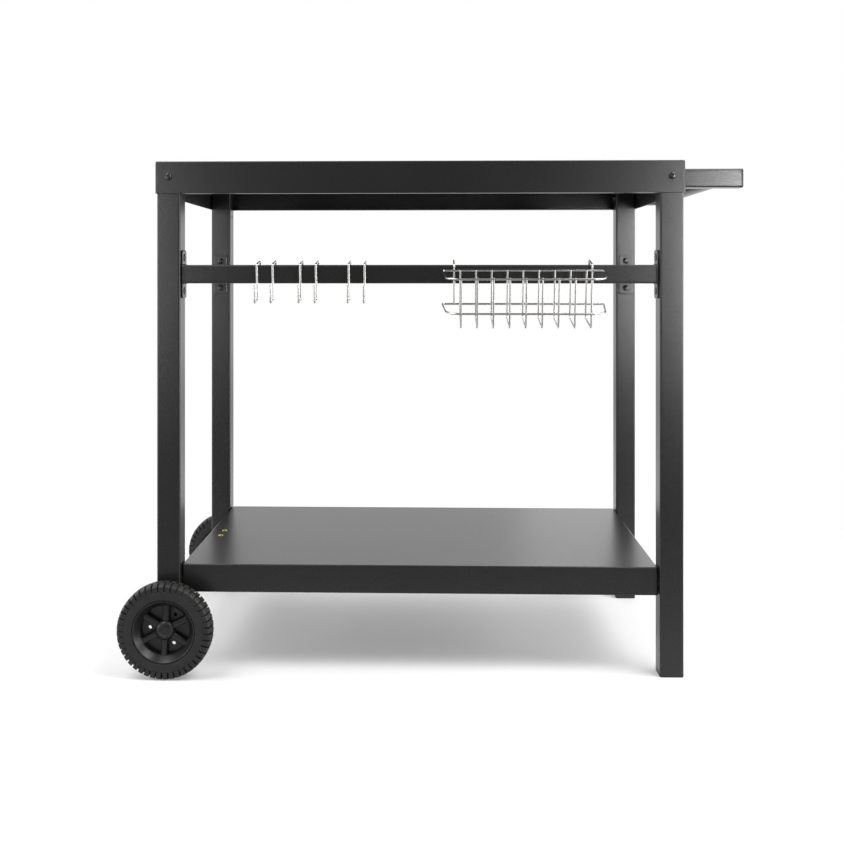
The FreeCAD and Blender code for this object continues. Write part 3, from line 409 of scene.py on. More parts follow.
# %% [markdown]
# One leg has a spare screw hole near its top, on the face towards the right legs. A texture could paint a
# dark spot there, but the wall's thickness shows at the rim, so the hole is cut with a Boolean modifier.
# The helper takes any number of places, because the wheels' rims need round holes too.

# %% Legs, and the spare hole in one of them
SPARE_HOLE_RADIUS = 3.3 * MM
SPARE_HOLE_Z = 0.759
SPARE_HOLE_ENDS = (-5 * MM, 5 * MM)
SPARE_HOLE_SIDES = 24


def cut_holes(piece, places, radius, ends, sides):
    """Cut a round hole at each place, from one height to the other along the place's own Z."""
    cutters = []
    for place in places:
        rings = [circle_ring(radius, height, sides) for height in ends]
        bm = bmesh.new()
        skin(bm, [[place @ Vector(point) for point in ring] for ring in rings], capped=True)
        cutter = link_mesh(f"{piece.name}_cutter", bm)
        cut = piece.modifiers.new("round_hole", "BOOLEAN")
        cut.object = cutter
        cut.operation = "DIFFERENCE"
        cutters.append(cutter)
    settle(piece)
    for cutter in cutters:
        bpy.data.objects.remove(cutter)


LEGS = ("leg_front_left", "leg_back_left", "leg_front_right", "leg_back_right")
for node in LEGS:
    piece = square_tube(f"{node}_tube", node, 2)
    if node == "leg_back_left":
        low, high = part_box(node)
        wall = Matrix.Translation((high.x, (low.y + high.y) / 2, SPARE_HOLE_Z))
        place = wall @ Matrix.Rotation(math.pi / 2, 4, "Y")
        cut_holes(piece, [place], SPARE_HOLE_RADIUS, SPARE_HOLE_ENDS, SPARE_HOLE_SIDES)
    dress(even_shading(piece), "powder_coat", "frame", node)
print("legs", len(LEGS))

# %% [markdown]
# Three rails join the legs: the hook rail at the front and one on each side. They are the same kind of
# tube with a weld at both ends, so one loop makes them, with the axis that each one follows.

# %% Rails
RAILS = {"front_rail": 0, "left_rail": 1, "right_rail": 1}
for node, axis in RAILS.items():
    piece = square_tube(f"{node}_tube", node, axis, welded=True)
    dress(even_shading(piece), "powder_coat", "frame", node)
print("rails", len(RAILS))

# %% [markdown]
# The push handle is two square arms bolted to the right legs and a round bar that the hands hold. The
# arms are the same tube as the rails. The bar is round tube, cut square and welded to the arms' inner
# faces, so a small fillet runs round each of its ends. It is turned smooth here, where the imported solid
# has flat sides.

# %% Push handle
BAR_RADIUS = 10 * MM
BAR_SIDES = 48
BAR_WELD = [(1.5 * MM, 0.0), (0.7 * MM, 0.5 * MM), (0.2 * MM, 1.4 * MM), (0.0, 2.6 * MM)]
for side in ("front", "back"):
    piece = square_tube(f"handle_arm_{side}_tube", f"handle_arm_{side}", 0)
    dress(even_shading(piece), "powder_coat", "frame", f"handle_arm_{side}")
low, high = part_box("handle_bar")
bar_x, bar_z = (low.x + high.x) / 2, (low.z + high.z) / 2
stops = [(BAR_RADIUS + rise, low.y + reach) for rise, reach in BAR_WELD]
stops += [(BAR_RADIUS + rise, high.y - reach) for rise, reach in reversed(BAR_WELD)]
stops += [(BAR_RADIUS - TUBE_WALL, high.y), (BAR_RADIUS - TUBE_WALL, low.y)]
rings = []
for radius, distance in stops:
    circle = circle_ring(radius, 0, BAR_SIDES)
    rings.append([(bar_x + across, distance, bar_z + up) for across, up, _ in circle])
bm = bmesh.new()
skin(bm, rings, closed=True)
dress(even_shading(link_mesh("handle_bar_tube", bm)), "powder_coat", "frame", "handle_bar")
print("handle bar in millimetres", round((high.y - low.y) / MM, 1))

# %% [markdown]
# The worktop and the lower shelf are steel sheets folded down on four sides. Seen from the front, the
# fold at the top is a thin soft line, and under the worktop's skirt a narrow lip is folded inwards
# between the legs: its lower face is seen at a very low angle and shines. The trays are stacks of rounded
# rectangles from the skirt's inner edge, round its lower edge, up the outside, over the fold and closed
# by the flat top.

# %% Folded trays
SHEET = 1.5 * MM
FOLD = 2.5 * MM
SEAM_CORNER = 3.0 * MM
TIGHT_CORNER = 0.3 * MM
FOLD_STEPS = 5
EDGE_STEPS = 4


def folded_tray(bm, node):
    """A sheet tray over a node's box, open below, with a round fold at its top and a rounded lower edge."""
    low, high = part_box(node)
    centre, half = box_section(low, high, 2)

    def ring(inset, height):
        return section_ring(centre, half, 2, height, -inset, max(SEAM_CORNER - inset, TIGHT_CORNER))

    edge = SHEET / 2
    rings = []
    for step in range(FOLD_STEPS + 1):
        angle = math.pi / 2 * (1 - step / FOLD_STEPS)
        reach = FOLD - SHEET
        rings.append(ring(FOLD - reach * math.cos(angle), high.z - FOLD + reach * math.sin(angle)))
    for step in range(EDGE_STEPS + 1):
        angle = math.pi * step / EDGE_STEPS
        rings.append(ring(edge + edge * math.cos(angle), low.z + edge - edge * math.sin(angle)))
    for step in range(FOLD_STEPS + 1):
        angle = math.pi / 2 * step / FOLD_STEPS
        rings.append(ring(FOLD - FOLD * math.cos(angle), high.z - FOLD + FOLD * math.sin(angle)))
    skin(bm, rings, capped=True)


bm = bmesh.new()
folded_tray(bm, "lower_shelf")
dress(even_shading(link_mesh("lower_shelf_tray", bm)), "powder_coat", "frame", "lower_shelf")
print("sheet in millimetres", SHEET / MM)

# %% The worktop with its lips
LIP_WIDTH = 12 * MM
LIP_END_GAP = 3 * MM
LIP_CORNER = 0.5 * MM
LIP_RISE = 0.1 * MM
bm = bmesh.new()
folded_tray(bm, "worktop")
low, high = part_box("worktop")
start_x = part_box("leg_front_left")[1].x + LIP_END_GAP
end_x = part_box("leg_front_right")[0].x - LIP_END_GAP
lip_reach = SHEET / 2 + LIP_WIDTH
half = ((end_x - start_x) / 2, lip_reach / 2)
for y in (low.y + SHEET / 2, high.y - SHEET / 2 - lip_reach):
    centre = ((start_x + end_x) / 2, y + lip_reach / 2)
    levels = (low.z + LIP_RISE, low.z + SHEET)
    skin(bm, [section_ring(centre, half, 2, level, 0, LIP_CORNER) for level in levels], capped=True)
dress(even_shading(link_mesh("worktop_cap", bm)), "powder_coat", "frame", "worktop")
print("worktop in millimetres", [round(side / MM, 1) for side in high - low])

# %% [markdown]
# A node that holds several solids, such as a set of screws or end plates, is one mesh of loose triangles.
# Grouping its points by the triangles that share them gives each solid's own box back, and so a seat for
# every new piece.

# %% Boxes of the separate solids in a node
SHARED_POINT = 1e-6


def solid_boxes(node):
    """The lowest corner, the highest corner and the points of each solid in a CAD node, in metres."""
    bm = bmesh.new()
    bm.from_mesh(nodes[node].data)
    bmesh.ops.remove_doubles(bm, verts=bm.verts, dist=SHARED_POINT)
    bm.verts.ensure_lookup_table()
    seen = set()
    boxes = []
    for first in bm.verts:
        if first.index in seen:
            continue
        seen.add(first.index)
        waiting = [first]
        found = []
        while waiting:
            vert = waiting.pop()
            found.append(vert.co.copy())
            for edge in vert.link_edges:
                other = edge.other_vert(vert)
                if other.index not in seen:
                    seen.add(other.index)
                    waiting.append(other)
        low = Vector([min(point[side] for point in found) for side in range(3)])
        high = Vector([max(point[side] for point in found) for side in range(3)])
        boxes.append((low, high, found))
    bm.free()
    return boxes


print("solids in the rail screws", len(solid_boxes("rail_screws")))

# %% [markdown]
# Each rail ends in a flat steel plate that is screwed to its leg. A plate is a rounded rectangle with a
# small bevel on both faces, so four rings draw it: a narrow one, two full ones and a narrow one again.

# %% End plates of the rails
PLATE_CORNER = 4 * MM
PLATE_EDGE = 1.0 * MM
plate_count = 0
for rail, axis in RAILS.items():
    node = f"{rail}_plates"
    bm = bmesh.new()
    for low, high, _ in solid_boxes(node):
        centre, half = box_section(low, high, axis)
        start, end = low[axis], high[axis]
        stops = [(PLATE_EDGE, start), (0, start + PLATE_EDGE), (0, end - PLATE_EDGE), (PLATE_EDGE, end)]
        rings = []
        for inset, distance in stops:
            rings.append(section_ring(centre, half, axis, distance, -inset, PLATE_CORNER - inset))
        skin(bm, rings, capped=True)
        plate_count += 1
    dress(even_shading(link_mesh(f"{node}_pair", bm)), "powder_coat", "frame", node)
print("end plates", plate_count)

# %% [markdown]
# The right legs stand on plastic feet, the left legs are closed by thin plugs, and caps close the
# handle's arms. All are the same moulding: a flange as wide as the tube with a softened edge, and a stem
# inside the tube.

# %% Feet, plugs and caps
PLUG_EDGE = 0.8 * MM
PLUG_GAP = 0.2 * MM
STEM_CORNER = TUBE_CORNER / 2
FOOT_FLANGE = 3 * MM
PLUG_FLANGE = 2 * MM
CAP_FLANGE = 3 * MM
PLUGS = [
    ("foot_front_right", 2, True, FOOT_FLANGE),
    ("foot_back_right", 2, True, FOOT_FLANGE),
    ("leg_plug_front_left", 2, True, PLUG_FLANGE),
    ("leg_plug_back_left", 2, True, PLUG_FLANGE),
    ("handle_cap_front", 0, False, CAP_FLANGE),
    ("handle_cap_back", 0, False, CAP_FLANGE),
]
for node, axis, faces_down, flange in PLUGS:
    low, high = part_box(node)
    centre, (half, _) = box_section(low, high, axis)
    stem = half - TUBE_WALL - PLUG_GAP
    profile = [
        (half - PLUG_EDGE, 0, TUBE_CORNER),
        (half, PLUG_EDGE, TUBE_CORNER),
        (half, flange - PLUG_GAP, TUBE_CORNER),
        (half - PLUG_GAP, flange, TUBE_CORNER),
        (stem, flange, STEM_CORNER),
        (stem, high[axis] - low[axis], STEM_CORNER),
    ]
    rings = []
    for reach, inwards, corner in profile:
        distance = low[axis] + inwards if faces_down else high[axis] - inwards
        rings.append(section_ring(centre, (reach, reach), axis, distance, 0, corner))
    bm = bmesh.new()
    skin(bm, rings, capped=True)
    dress(even_shading(link_mesh(f"{node}_moulding", bm)), "plug_plastic", "frame", node)
print("feet, plugs and caps", len(PLUGS))

# %% [markdown]
# The screws are dark pan heads with a hexagon socket, and flat heads hold the hook rail's plates. They
# repeat, so Geometry Nodes set one pattern on every seat: a point with the way that the head looks. The
# same tree sets the yellow threaded inserts in the shelf.

# %% A tree that sets fasteners on their seats
def new_tree(name, inputs):
    """A geometry tree with a Geometry socket in and out and the named inputs."""
    tree = bpy.data.node_groups.new(name, "GeometryNodeTree")
    tree.interface.new_socket("Geometry", in_out="INPUT", socket_type="NodeSocketGeometry")
    tree.interface.new_socket("Geometry", in_out="OUTPUT", socket_type="NodeSocketGeometry")
    for label, kind in inputs:
        tree.interface.new_socket(label, in_out="INPUT", socket_type=kind)
    return tree, tree.nodes.new("NodeGroupInput"), tree.nodes.new("NodeGroupOutput")


def end_tree(tree, source, group_in, group_out):
    """Realize the instances, give them the material input and put them out."""
    realize = tree.nodes.new("GeometryNodeRealizeInstances")
    coat = tree.nodes.new("GeometryNodeSetMaterial")
    tree.links.new(source, realize.inputs["Geometry"])
    tree.links.new(realize.outputs["Geometry"], coat.inputs["Geometry"])
    tree.links.new(group_in.outputs["Material"], coat.inputs["Material"])
    tree.links.new(coat.outputs["Geometry"], group_out.inputs["Geometry"])


def grow(piece, tree, **values):
    """Run a geometry tree on a piece with named inputs, and keep the result as its plain mesh."""
    modifier = piece.modifiers.new(tree.name, "NODES")
    modifier.node_group = tree
    for item in tree.interface.items_tree:
        label = item.name.replace(" ", "_").lower()
        if item.in_out == "INPUT" and label in values:
            modifier[item.identifier] = values[label]
    return settle(piece)


seat_tree, seat_in, seat_out = new_tree(
    "set_fasteners", [("Pattern", "NodeSocketObject"), ("Material", "NodeSocketMaterial")])
pattern_info = seat_tree.nodes.new("GeometryNodeObjectInfo")
facing = seat_tree.nodes.new("GeometryNodeInputNamedAttribute")
facing.data_type = "FLOAT_VECTOR"
facing.inputs["Name"].default_value = "facing"
align = seat_tree.nodes.new("FunctionNodeAlignRotationToVector")
align.axis = "Z"
seat_copies = seat_tree.nodes.new("GeometryNodeInstanceOnPoints")
seat_tree.links.new(seat_in.outputs["Pattern"], pattern_info.inputs["Object"])
seat_tree.links.new(facing.outputs["Attribute"], align.inputs["Vector"])
seat_tree.links.new(seat_in.outputs["Geometry"], seat_copies.inputs["Points"])
seat_tree.links.new(pattern_info.outputs["Geometry"], seat_copies.inputs["Instance"])
seat_tree.links.new(align.outputs["Rotation"], seat_copies.inputs["Rotation"])
end_tree(seat_tree, seat_copies.outputs["Instances"], seat_in, seat_out)


END_DEPTH = 0.5 * MM


def head_seats(node):
    """The middle of each fastener's outer face and the way that it looks, from the node's solids."""
    seats = []
    for low, high, points in solid_boxes(node):
        axis = max(range(3), key=lambda side: high[side] - low[side])
        others = [side for side in range(3) if side != axis]
        middle = (low + high) / 2

        def spread(end):
            near = [point for point in points if abs(point[axis] - end) < END_DEPTH]
            return max(abs(point[side] - middle[side]) for point in near for side in others)

        sign = 1 if spread(high[axis]) > spread(low[axis]) else -1
        seat = middle.copy()
        seat[axis] = high[axis] if sign > 0 else low[axis]
        look = Vector()
        look[axis] = sign
        seats.append((seat, look))
    return seats


def seat_cloud(name, seats):
    """Loose points with the way that each one looks."""
    mesh = bpy.data.meshes.new(name)
    mesh.from_pydata([seat for seat, _ in seats], [], [])
    looks = mesh.attributes.new("facing", "FLOAT_VECTOR", "POINT")
    looks.data.foreach_set("vector", [part for _, look in seats for part in look])
    return link_object(name, mesh)


print("seat tree nodes", len(seat_tree.nodes))

# %% [markdown]
# A screw is a turned shape with a six-sided socket in its top. Turning is one ring for each step of a
# profile of radius and height pairs. The socket's rings are hexagons with as many points as the circles,
# so that the skin runs on from the round head into the socket without a seam. The patterns are removed
# once their copies are set.

# %% Patterns of the screws
HEAD_SIDES = 36
PAN_HEAD = [(5.7, -3.6), (6.0, -3.3), (6.0, -2.5), (5.75, -1.7), (5.25, -1.0), (4.5, -0.45),
            (3.6, -0.12), (2.9, 0.0)]
FLAT_HEAD = [(5.8, -1.2), (6.0, -1.0), (6.0, -0.4), (5.6, 0.0), (2.9, 0.0)]
PAN_SOCKET = 2.2 * MM
FLAT_SOCKET = 1.0 * MM
SOCKET_REACH = 2.4 * MM
SOCKET_EDGE = 0.25 * MM
SHANK_RADIUS = 3.0 * MM
SHANK_POINT = 0.6 * MM
SCREW_SHANK = 12 * MM
BOLT_SHANK = 46 * MM


def socket_ring(reach, height):
    """A hexagon drawn with as many points as the head's circles."""
    ring = []
    for index in range(HEAD_SIDES):
        angle = 2 * math.pi * index / HEAD_SIDES
        flat = math.cos(math.pi / 6) / math.cos(angle % (math.pi / 3) - math.pi / 6)
        ring.append((reach * flat * math.cos(angle), reach * flat * math.sin(angle), height))
    return ring


def headed_screw(name, dome, socket_depth, shank):
    """A round head with a hexagon socket, its top at Z = 0 and its shank below."""
    under = dome[0][1] * MM
    rings = [
        circle_ring(SHANK_RADIUS - SHANK_POINT, under - shank, HEAD_SIDES),
        circle_ring(SHANK_RADIUS, under - shank + SHANK_POINT, HEAD_SIDES),
        circle_ring(SHANK_RADIUS, under, HEAD_SIDES),
    ]
    rings += [circle_ring(radius * MM, height * MM, HEAD_SIDES) for radius, height in dome]
    rings += [
        socket_ring(SOCKET_REACH + SOCKET_EDGE, 0.0),
        socket_ring(SOCKET_REACH, -SOCKET_EDGE),
        socket_ring(SOCKET_REACH, -socket_depth),
    ]
    bm = bmesh.new()
    skin(bm, rings, capped=True)
    return even_shading(link_mesh(name, bm))


screw = headed_screw("screw_pattern", PAN_HEAD, PAN_SOCKET, SCREW_SHANK)
flat_screw = headed_screw("flat_screw_pattern", FLAT_HEAD, FLAT_SOCKET, SCREW_SHANK)
bolt = headed_screw("bolt_pattern", PAN_HEAD, PAN_SOCKET, BOLT_SHANK)
print("faces of one screw", len(screw.data.polygons))

# %% Screws and inserts on their seats
INSERT_PROFILE = [(3.5, -12.6), (3.5, -0.9), (4.4, -0.8), (4.55, -0.3), (4.5, 0.2), (4.2, 0.5), (3.6, 0.5),
                  (3.1, 0.2), (2.9, -0.4), (2.5, -1.4), (2.5, -12.6)]


def turned(name, profile, count, capped=False):
    """A profile in millimetres, turned about Z: a closed ring, or a solid with flat ends if capped."""
    bm = bmesh.new()
    rings = [circle_ring(radius * MM, height * MM, count) for radius, height in profile]
    skin(bm, rings, closed=not capped, capped=capped)
    return link_mesh(name, bm)


def set_fasteners(name, pattern, node, slot):
    """Copies of a pattern on every seat of a CAD node, as one piece."""
    piece = seat_cloud(name, head_seats(node))
    grow(piece, seat_tree, pattern=pattern, material=FINISHES[slot])
    return dress(piece, slot, "frame", node)


PAN_SETS = ("worktop_screws", "rail_screws", "shelf_screws")
for node in PAN_SETS:
    set_fasteners(f"{node}_set", screw, node, "dark_screws")
set_fasteners("front_rail_screws_set", flat_screw, "front_rail_screws", "dark_screws")
set_fasteners("handle_bolts_set", bolt, "handle_bolts", "dark_screws")
insert = even_shading(turned("insert_pattern", INSERT_PROFILE, HEAD_SIDES))
set_fasteners("shelf_inserts_set", insert, "shelf_inserts", "brass_inserts")
for pattern in (screw, flat_screw, bolt, insert):
    bpy.data.objects.remove(pattern)
print("pan heads", sum(len(head_seats(node)) for node in PAN_SETS))

# %% [markdown]
# A wheel is a solid rubber tyre on a moulded rim with a domed cap. The round forms are turned: a profile
# of radius and height pairs, one ring for each. The lugs and the spokes repeat round the axle, so each is
# modelled once and a second tree turns copies of it. The wheel is built about Z with its outer face up,
# and is then put on its axle.

# %% A tree that turns copies round the axle
round_tree, round_in, round_out = new_tree(
    "turn_copies", [("Count", "NodeSocketInt"), ("Material", "NodeSocketMaterial")])
stations = round_tree.nodes.new("GeometryNodePoints")
index = round_tree.nodes.new("GeometryNodeInputIndex")
share = math_node(round_tree, "DIVIDE", index.outputs["Index"], round_in.outputs["Count"])
spin = round_tree.nodes.new("ShaderNodeCombineXYZ")
round_copies = round_tree.nodes.new("GeometryNodeInstanceOnPoints")
round_tree.links.new(round_in.outputs["Count"], stations.inputs["Count"])
round_tree.links.new(math_node(round_tree, "MULTIPLY", share, 2 * math.pi), spin.inputs["Z"])
round_tree.links.new(stations.outputs["Points"], round_copies.inputs["Points"])
round_tree.links.new(round_in.outputs["Geometry"], round_copies.inputs["Instance"])
round_tree.links.new(spin.outputs["Vector"], round_copies.inputs["Rotation"])
end_tree(round_tree, round_copies.outputs["Instances"], round_in, round_out)


def merge(target, *others):
    """Join other pieces' meshes into the first one."""
    bm = bmesh.new()
    bm.from_mesh(target.data)
    for other in others:
        bm.from_mesh(other.data)
        bpy.data.objects.remove(other)
    bm.to_mesh(target.data)
    bm.free()
    return target


print("turning tree nodes", len(round_tree.nodes))

# %% [markdown]
# The tyre has a groove round its middle and a row of square lugs over each shoulder, with one row half a
# step ahead of the other. A bump could only hint at them, and the tread makes the tyre's outline, so the
# lugs are geometry: one lug is skinned between its two sides, its edges are softened by a Bevel modifier,
# and the tree turns its copies.

# %% The lugged tyre
WHEEL_WIDTH = 34
LUG_COUNT = 44
TURN_STEPS = 132
TYRE_MIDDLE = [(72.8, WHEEL_WIDTH / 2)]
TYRE_SIDE = [(50.0, 31.0), (50.9, 32.8), (52.2, 33.5), (56.0, 33.8), (62.6, 33.8), (63.3, 33.5),
             (63.9, 32.2), (70.2, 28.8), (73.0, 25.0), (73.5, 18.6)]
other_side = [(radius, WHEEL_WIDTH - height) for radius, height in reversed(TYRE_SIDE)]
TYRE_PROFILE = TYRE_SIDE + TYRE_MIDDLE + other_side
LUG_PROFILE = [(63.1, 32.6), (63.8, 33.8), (71.6, 33.7), (72.7, 33.2), (74.4, 31.0), (75.6, 27.6),
               (76.0, 24.0), (76.0, 18.2), (72.6, 17.8), (72.0, 24.6), (69.4, 28.0), (64.4, 31.6)]
LUG_SLOT = 2.8
LUG_SOFTNESS = 0.5 * MM
LUG_SOFT_ANGLE = math.radians(40)
LUG_SOFT_STEPS = 2


def lug(name, flip):
    """One lug over a shoulder, as wide as its share of the turn allows beside the slot."""
    bm = bmesh.new()
    rings = []
    for side in (-1, 1):
        ring = []
        for radius, height in LUG_PROFILE:
            angle = side * (math.pi / LUG_COUNT - LUG_SLOT / 2 / radius)
            level = WHEEL_WIDTH - height if flip else height
            ring.append((radius * MM * math.cos(angle), radius * MM * math.sin(angle), level * MM))
        rings.append(ring)
    skin(bm, rings, capped=True)
    piece = link_mesh(name, bm)
    soften = piece.modifiers.new("soften", "BEVEL")
    soften.width = LUG_SOFTNESS
    soften.segments = LUG_SOFT_STEPS
    soften.limit_method = "ANGLE"
    soften.angle_limit = LUG_SOFT_ANGLE
    settle(piece)
    if flip:
        piece.data.transform(Matrix.Rotation(math.pi / LUG_COUNT, 4, "Z"))
    return piece


def tyre(name):
    """The tyre's turned body with both rows of lugs on it."""
    piece = even_shading(turned(name, TYRE_PROFILE, TURN_STEPS))
    rows = []
    for flip in (False, True):
        row = lug(f"{name}_row_{int(flip)}", flip)
        rows.append(grow(row, round_tree, count=LUG_COUNT, material=FINISHES["tyre_rubber"]))
    merge(piece, *rows)
    return even_shading(piece)


print("lugs on one tyre", 2 * LUG_COUNT)

# %% [markdown]
# The rim is one black moulding: a ring with a sloping inner face, a thin web with three round holes, a
# hub and six bevelled spokes. The ring, web and hub are turned in one profile, the holes are cut as in
# the leg, and one spoke is turned into six by the same tree as the lugs. The cap is a smooth dome with a
# shallow bare dish in its middle.

# %% The spoked rim and its cap
RIM_PROFILE = [(49.8, 2.2), (49.95, 31.4), (49.7, 32.2), (49.0, 32.5), (48.2, 32.4), (47.5, 31.8),
               (46.6, 30.4), (40.4, 22.0), (39.4, 20.4), (38.9, 18.0), (38.5, 12.0), (38.0, 10.6),
               (36.6, 10.0), (17.5, 10.0), (16.1, 10.6), (15.5, 12.0), (15.5, 19.4), (15.0, 20.0),
               (11.5, 20.0), (11.5, 12.5), (5.05, 12.5), (5.05, 0.0), (14.6, 0.0), (15.5, 0.9),
               (15.5, 5.0), (16.5, 6.0), (40.5, 6.0), (42.0, 4.6), (42.4, 2.6), (43.2, 1.6), (49.2, 1.6)]
half_spoke = [(6.2, 8.0), (5.8, 14.0), (5.3, 17.8), (4.8, 19.0), (3.8, 19.9), (2.4, 20.3)]
SPOKE_SECTION = [(-across, height) for across, height in half_spoke] + half_spoke[::-1]
SPOKE_COUNT = 6
SPOKE_RUN = [(12.5, 1.0), (20.0, 0.98), (34.0, 0.94), (38.0, 1.0), (40.0, 1.12), (42.0, 1.3)]
HOLE_COUNT = 3
HOLE_RADIUS = 3.0 * MM
HOLE_REACH = 26.5 * MM
HOLE_ENDS = (4 * MM, 12 * MM)
HOLE_SIDES = 28
CAP_SIDES = 64
CAP_PROFILE = [(9.9, 22.0), (9.9, 18.0), (11.4, 18.0), (11.4, 20.0), (15.3, 20.0), (15.5, 20.3),
               (15.4, 21.2), (14.8, 22.3), (13.8, 23.4), (12.5, 24.4), (11.0, 25.3), (9.6, 26.0),
               (8.6, 26.4), (8.0, 26.5), (7.5, 26.3), (7.2, 25.8), (7.1, 24.9), (6.7, 24.5)]


def rim(name):
    """The turned rim with its holes cut and its spokes set."""
    piece = turned(name, RIM_PROFILE, TURN_STEPS)
    places = []
    for hole in range(HOLE_COUNT):
        angle = math.pi / SPOKE_COUNT + 2 * math.pi * hole / HOLE_COUNT
        places.append(Matrix.Translation((HOLE_REACH * math.cos(angle), HOLE_REACH * math.sin(angle), 0)))
    cut_holes(piece, places, HOLE_RADIUS, HOLE_ENDS, HOLE_SIDES)
    bm = bmesh.new()
    rings = []
    for reach, widen in SPOKE_RUN:
        rings.append([(reach * MM, across * widen * MM, height * MM) for across, height in SPOKE_SECTION])
    skin(bm, rings, capped=True)
    spoke = link_mesh(f"{name}_spoke", bm)
    grow(spoke, round_tree, count=SPOKE_COUNT, material=FINISHES["wheel_plastic"])
    return even_shading(merge(piece, spoke))


def hub_cap(name):
    """The domed cap, closed at both ends of its profile."""
    return even_shading(turned(name, CAP_PROFILE, CAP_SIDES, capped=True))


print("spokes", SPOKE_COUNT, "holes", HOLE_COUNT)

# %% [markdown]
# The two wheels are alike and look away from each other, so the back one is turned half round. Each is
# put where its tyre's node is, turned a little so that a spoke does not stand upright, and rides on its
# own body, which spins.

# %% Both wheels in their places
WHEEL_TURN = math.radians(27)
for side in ("front", "back"):
    low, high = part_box(f"{side}_tyre")
    inner_y = high.y if side == "front" else low.y
    hub = Matrix.Translation(((low.x + high.x) / 2, inner_y, (low.z + high.z) / 2))
    place = Matrix.Rotation(math.pi / 2, 4, "X")
    if side == "back":
        place = Matrix.Rotation(math.pi, 4, "Z") @ place
    place = hub @ place @ Matrix.Rotation(WHEEL_TURN, 4, "Z")
    body = f"{side}_wheel"
    for maker, label, slot, node in (
        (tyre, "lugged_tyre", "tyre_rubber", "tyre"),
        (rim, "spoked_rim", "wheel_plastic", "rim"),
        (hub_cap, "domed_cap", "wheel_plastic", "hub_cap"),
    ):
        piece = maker(f"{side}_{label}")
        piece.data.transform(place)
        dress(piece, slot, body, f"{side}_{node}")
print("wheel diameter in millimetres", round((high.z - low.z) / MM, 1))

# %% [markdown]
# The axle is a drawn steel rod through both short legs, with a small chamfer at each end. It is turned
# about Z like the caps and then laid down along Y.

# %% Axle
AXLE_RADIUS = 5.0
AXLE_CHAMFER = 0.8
AXLE_SIDES = 48
low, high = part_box("axle")
length = (high.y - low.y) / MM
shaft = [
    (AXLE_RADIUS - AXLE_CHAMFER, 0.0),
    (AXLE_RADIUS, AXLE_CHAMFER),
    (AXLE_RADIUS, length - AXLE_CHAMFER),
    (AXLE_RADIUS - AXLE_CHAMFER, length),
]
piece = even_shading(turned("axle_shaft", shaft, AXLE_SIDES, capped=True))
lie_down = Matrix.Rotation(-math.pi / 2, 4, "X")
start = Matrix.Translation(((low.x + high.x) / 2, low.y, (low.z + high.z) / 2))
piece.data.transform(start @ lie_down)
dress(piece, "axle_steel", "frame", "axle")
print("axle in millimetres", round(length, 1))

# %% [markdown]
# Hooks and basket are bent from round wire. A wire is a path with a bend at each corner, so a third tree
# turns a line of points into a curve, rounds its corners by each point's own bend and sweeps a circle
# along it. The paths use the rail's box, the wire and a small clearance, and they hang tipped forwards by
# their own weight.

# %% A tree that bends wire along a path
BEND_STEPS = 7
WIRE_SIDES = 14
wire_tree, wire_in, wire_out = new_tree(
    "bend_wire", [("Wire Radius", FLOAT), ("Material", "NodeSocketMaterial")])
to_curve = wire_tree.nodes.new("GeometryNodeMeshToCurve")
bend = wire_tree.nodes.new("GeometryNodeInputNamedAttribute")
bend.data_type = "FLOAT"
bend.inputs["Name"].default_value = "bend"
fillet = wire_tree.nodes.new("GeometryNodeFilletCurve")
fillet.mode = "POLY"
fillet.inputs["Count"].default_value = BEND_STEPS
fillet.inputs["Limit Radius"].default_value = True
section = wire_tree.nodes.new("GeometryNodeCurvePrimitiveCircle")
section.inputs["Resolution"].default_value = WIRE_SIDES
sweep = wire_tree.nodes.new("GeometryNodeCurveToMesh")
sweep.inputs["Fill Caps"].default_value = True
wire_tree.links.new(wire_in.outputs["Geometry"], to_curve.inputs["Mesh"])
wire_tree.links.new(to_curve.outputs["Curve"], fillet.inputs["Curve"])
wire_tree.links.new(bend.outputs["Attribute"], fillet.inputs["Radius"])
wire_tree.links.new(fillet.outputs["Curve"], sweep.inputs["Curve"])
wire_tree.links.new(wire_in.outputs["Wire Radius"], section.inputs["Radius"])
wire_tree.links.new(section.outputs["Curve"], sweep.inputs["Profile Curve"])
end_tree(wire_tree, sweep.outputs["Mesh"], wire_in, wire_out)


def wire_path(name, runs, bends, closed=False):
    """Lines through each run's points, with a bend radius at every point."""
    points = []
    edges = []
    radii = []
    for run in runs:
        first = len(points)
        points += run
        radii += bends
        edges += [(first + step, first + step + 1) for step in range(len(run) - 1)]
        if closed:
            edges.append((len(points) - 1, first))
    mesh = bpy.data.meshes.new(name)
    mesh.from_pydata(points, edges, [])
    bend_radii = mesh.attributes.new("bend", "FLOAT", "POINT")
    bend_radii.data.foreach_set("value", radii)
    return link_object(name, mesh)


def wire_piece(name, runs, bends, diameter, body, node, closed=False):
    """Bent wires along the runs, as one piece that stands for a CAD node."""
    piece = wire_path(name, runs, bends, closed)
    grow(piece, wire_tree, wire_radius=diameter / 2, material=FINISHES["chrome_wire"])
    return dress(even_shading(piece), "chrome_wire", body, node)


print("wire tree nodes", len(wire_tree.nodes))

# %% Places on the hook rail
rail_low, rail_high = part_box("front_rail")
rail_y = (rail_low.y + rail_high.y) / 2
rail_z = (rail_low.z + rail_high.z) / 2
rail_half = (rail_high.z - rail_low.z) / 2
HANG_GAP = 0.3 * MM
CHAMFER = 2 * MM


def on_rail(x, ahead, above, tilt):
    """A point ahead of and above the rail's centre line, tipped forwards."""
    forward = ahead * math.cos(tilt) + above * math.sin(tilt)
    rise = above * math.cos(tilt) - ahead * math.sin(tilt)
    return (x, rail_y - forward, rail_z + rise)


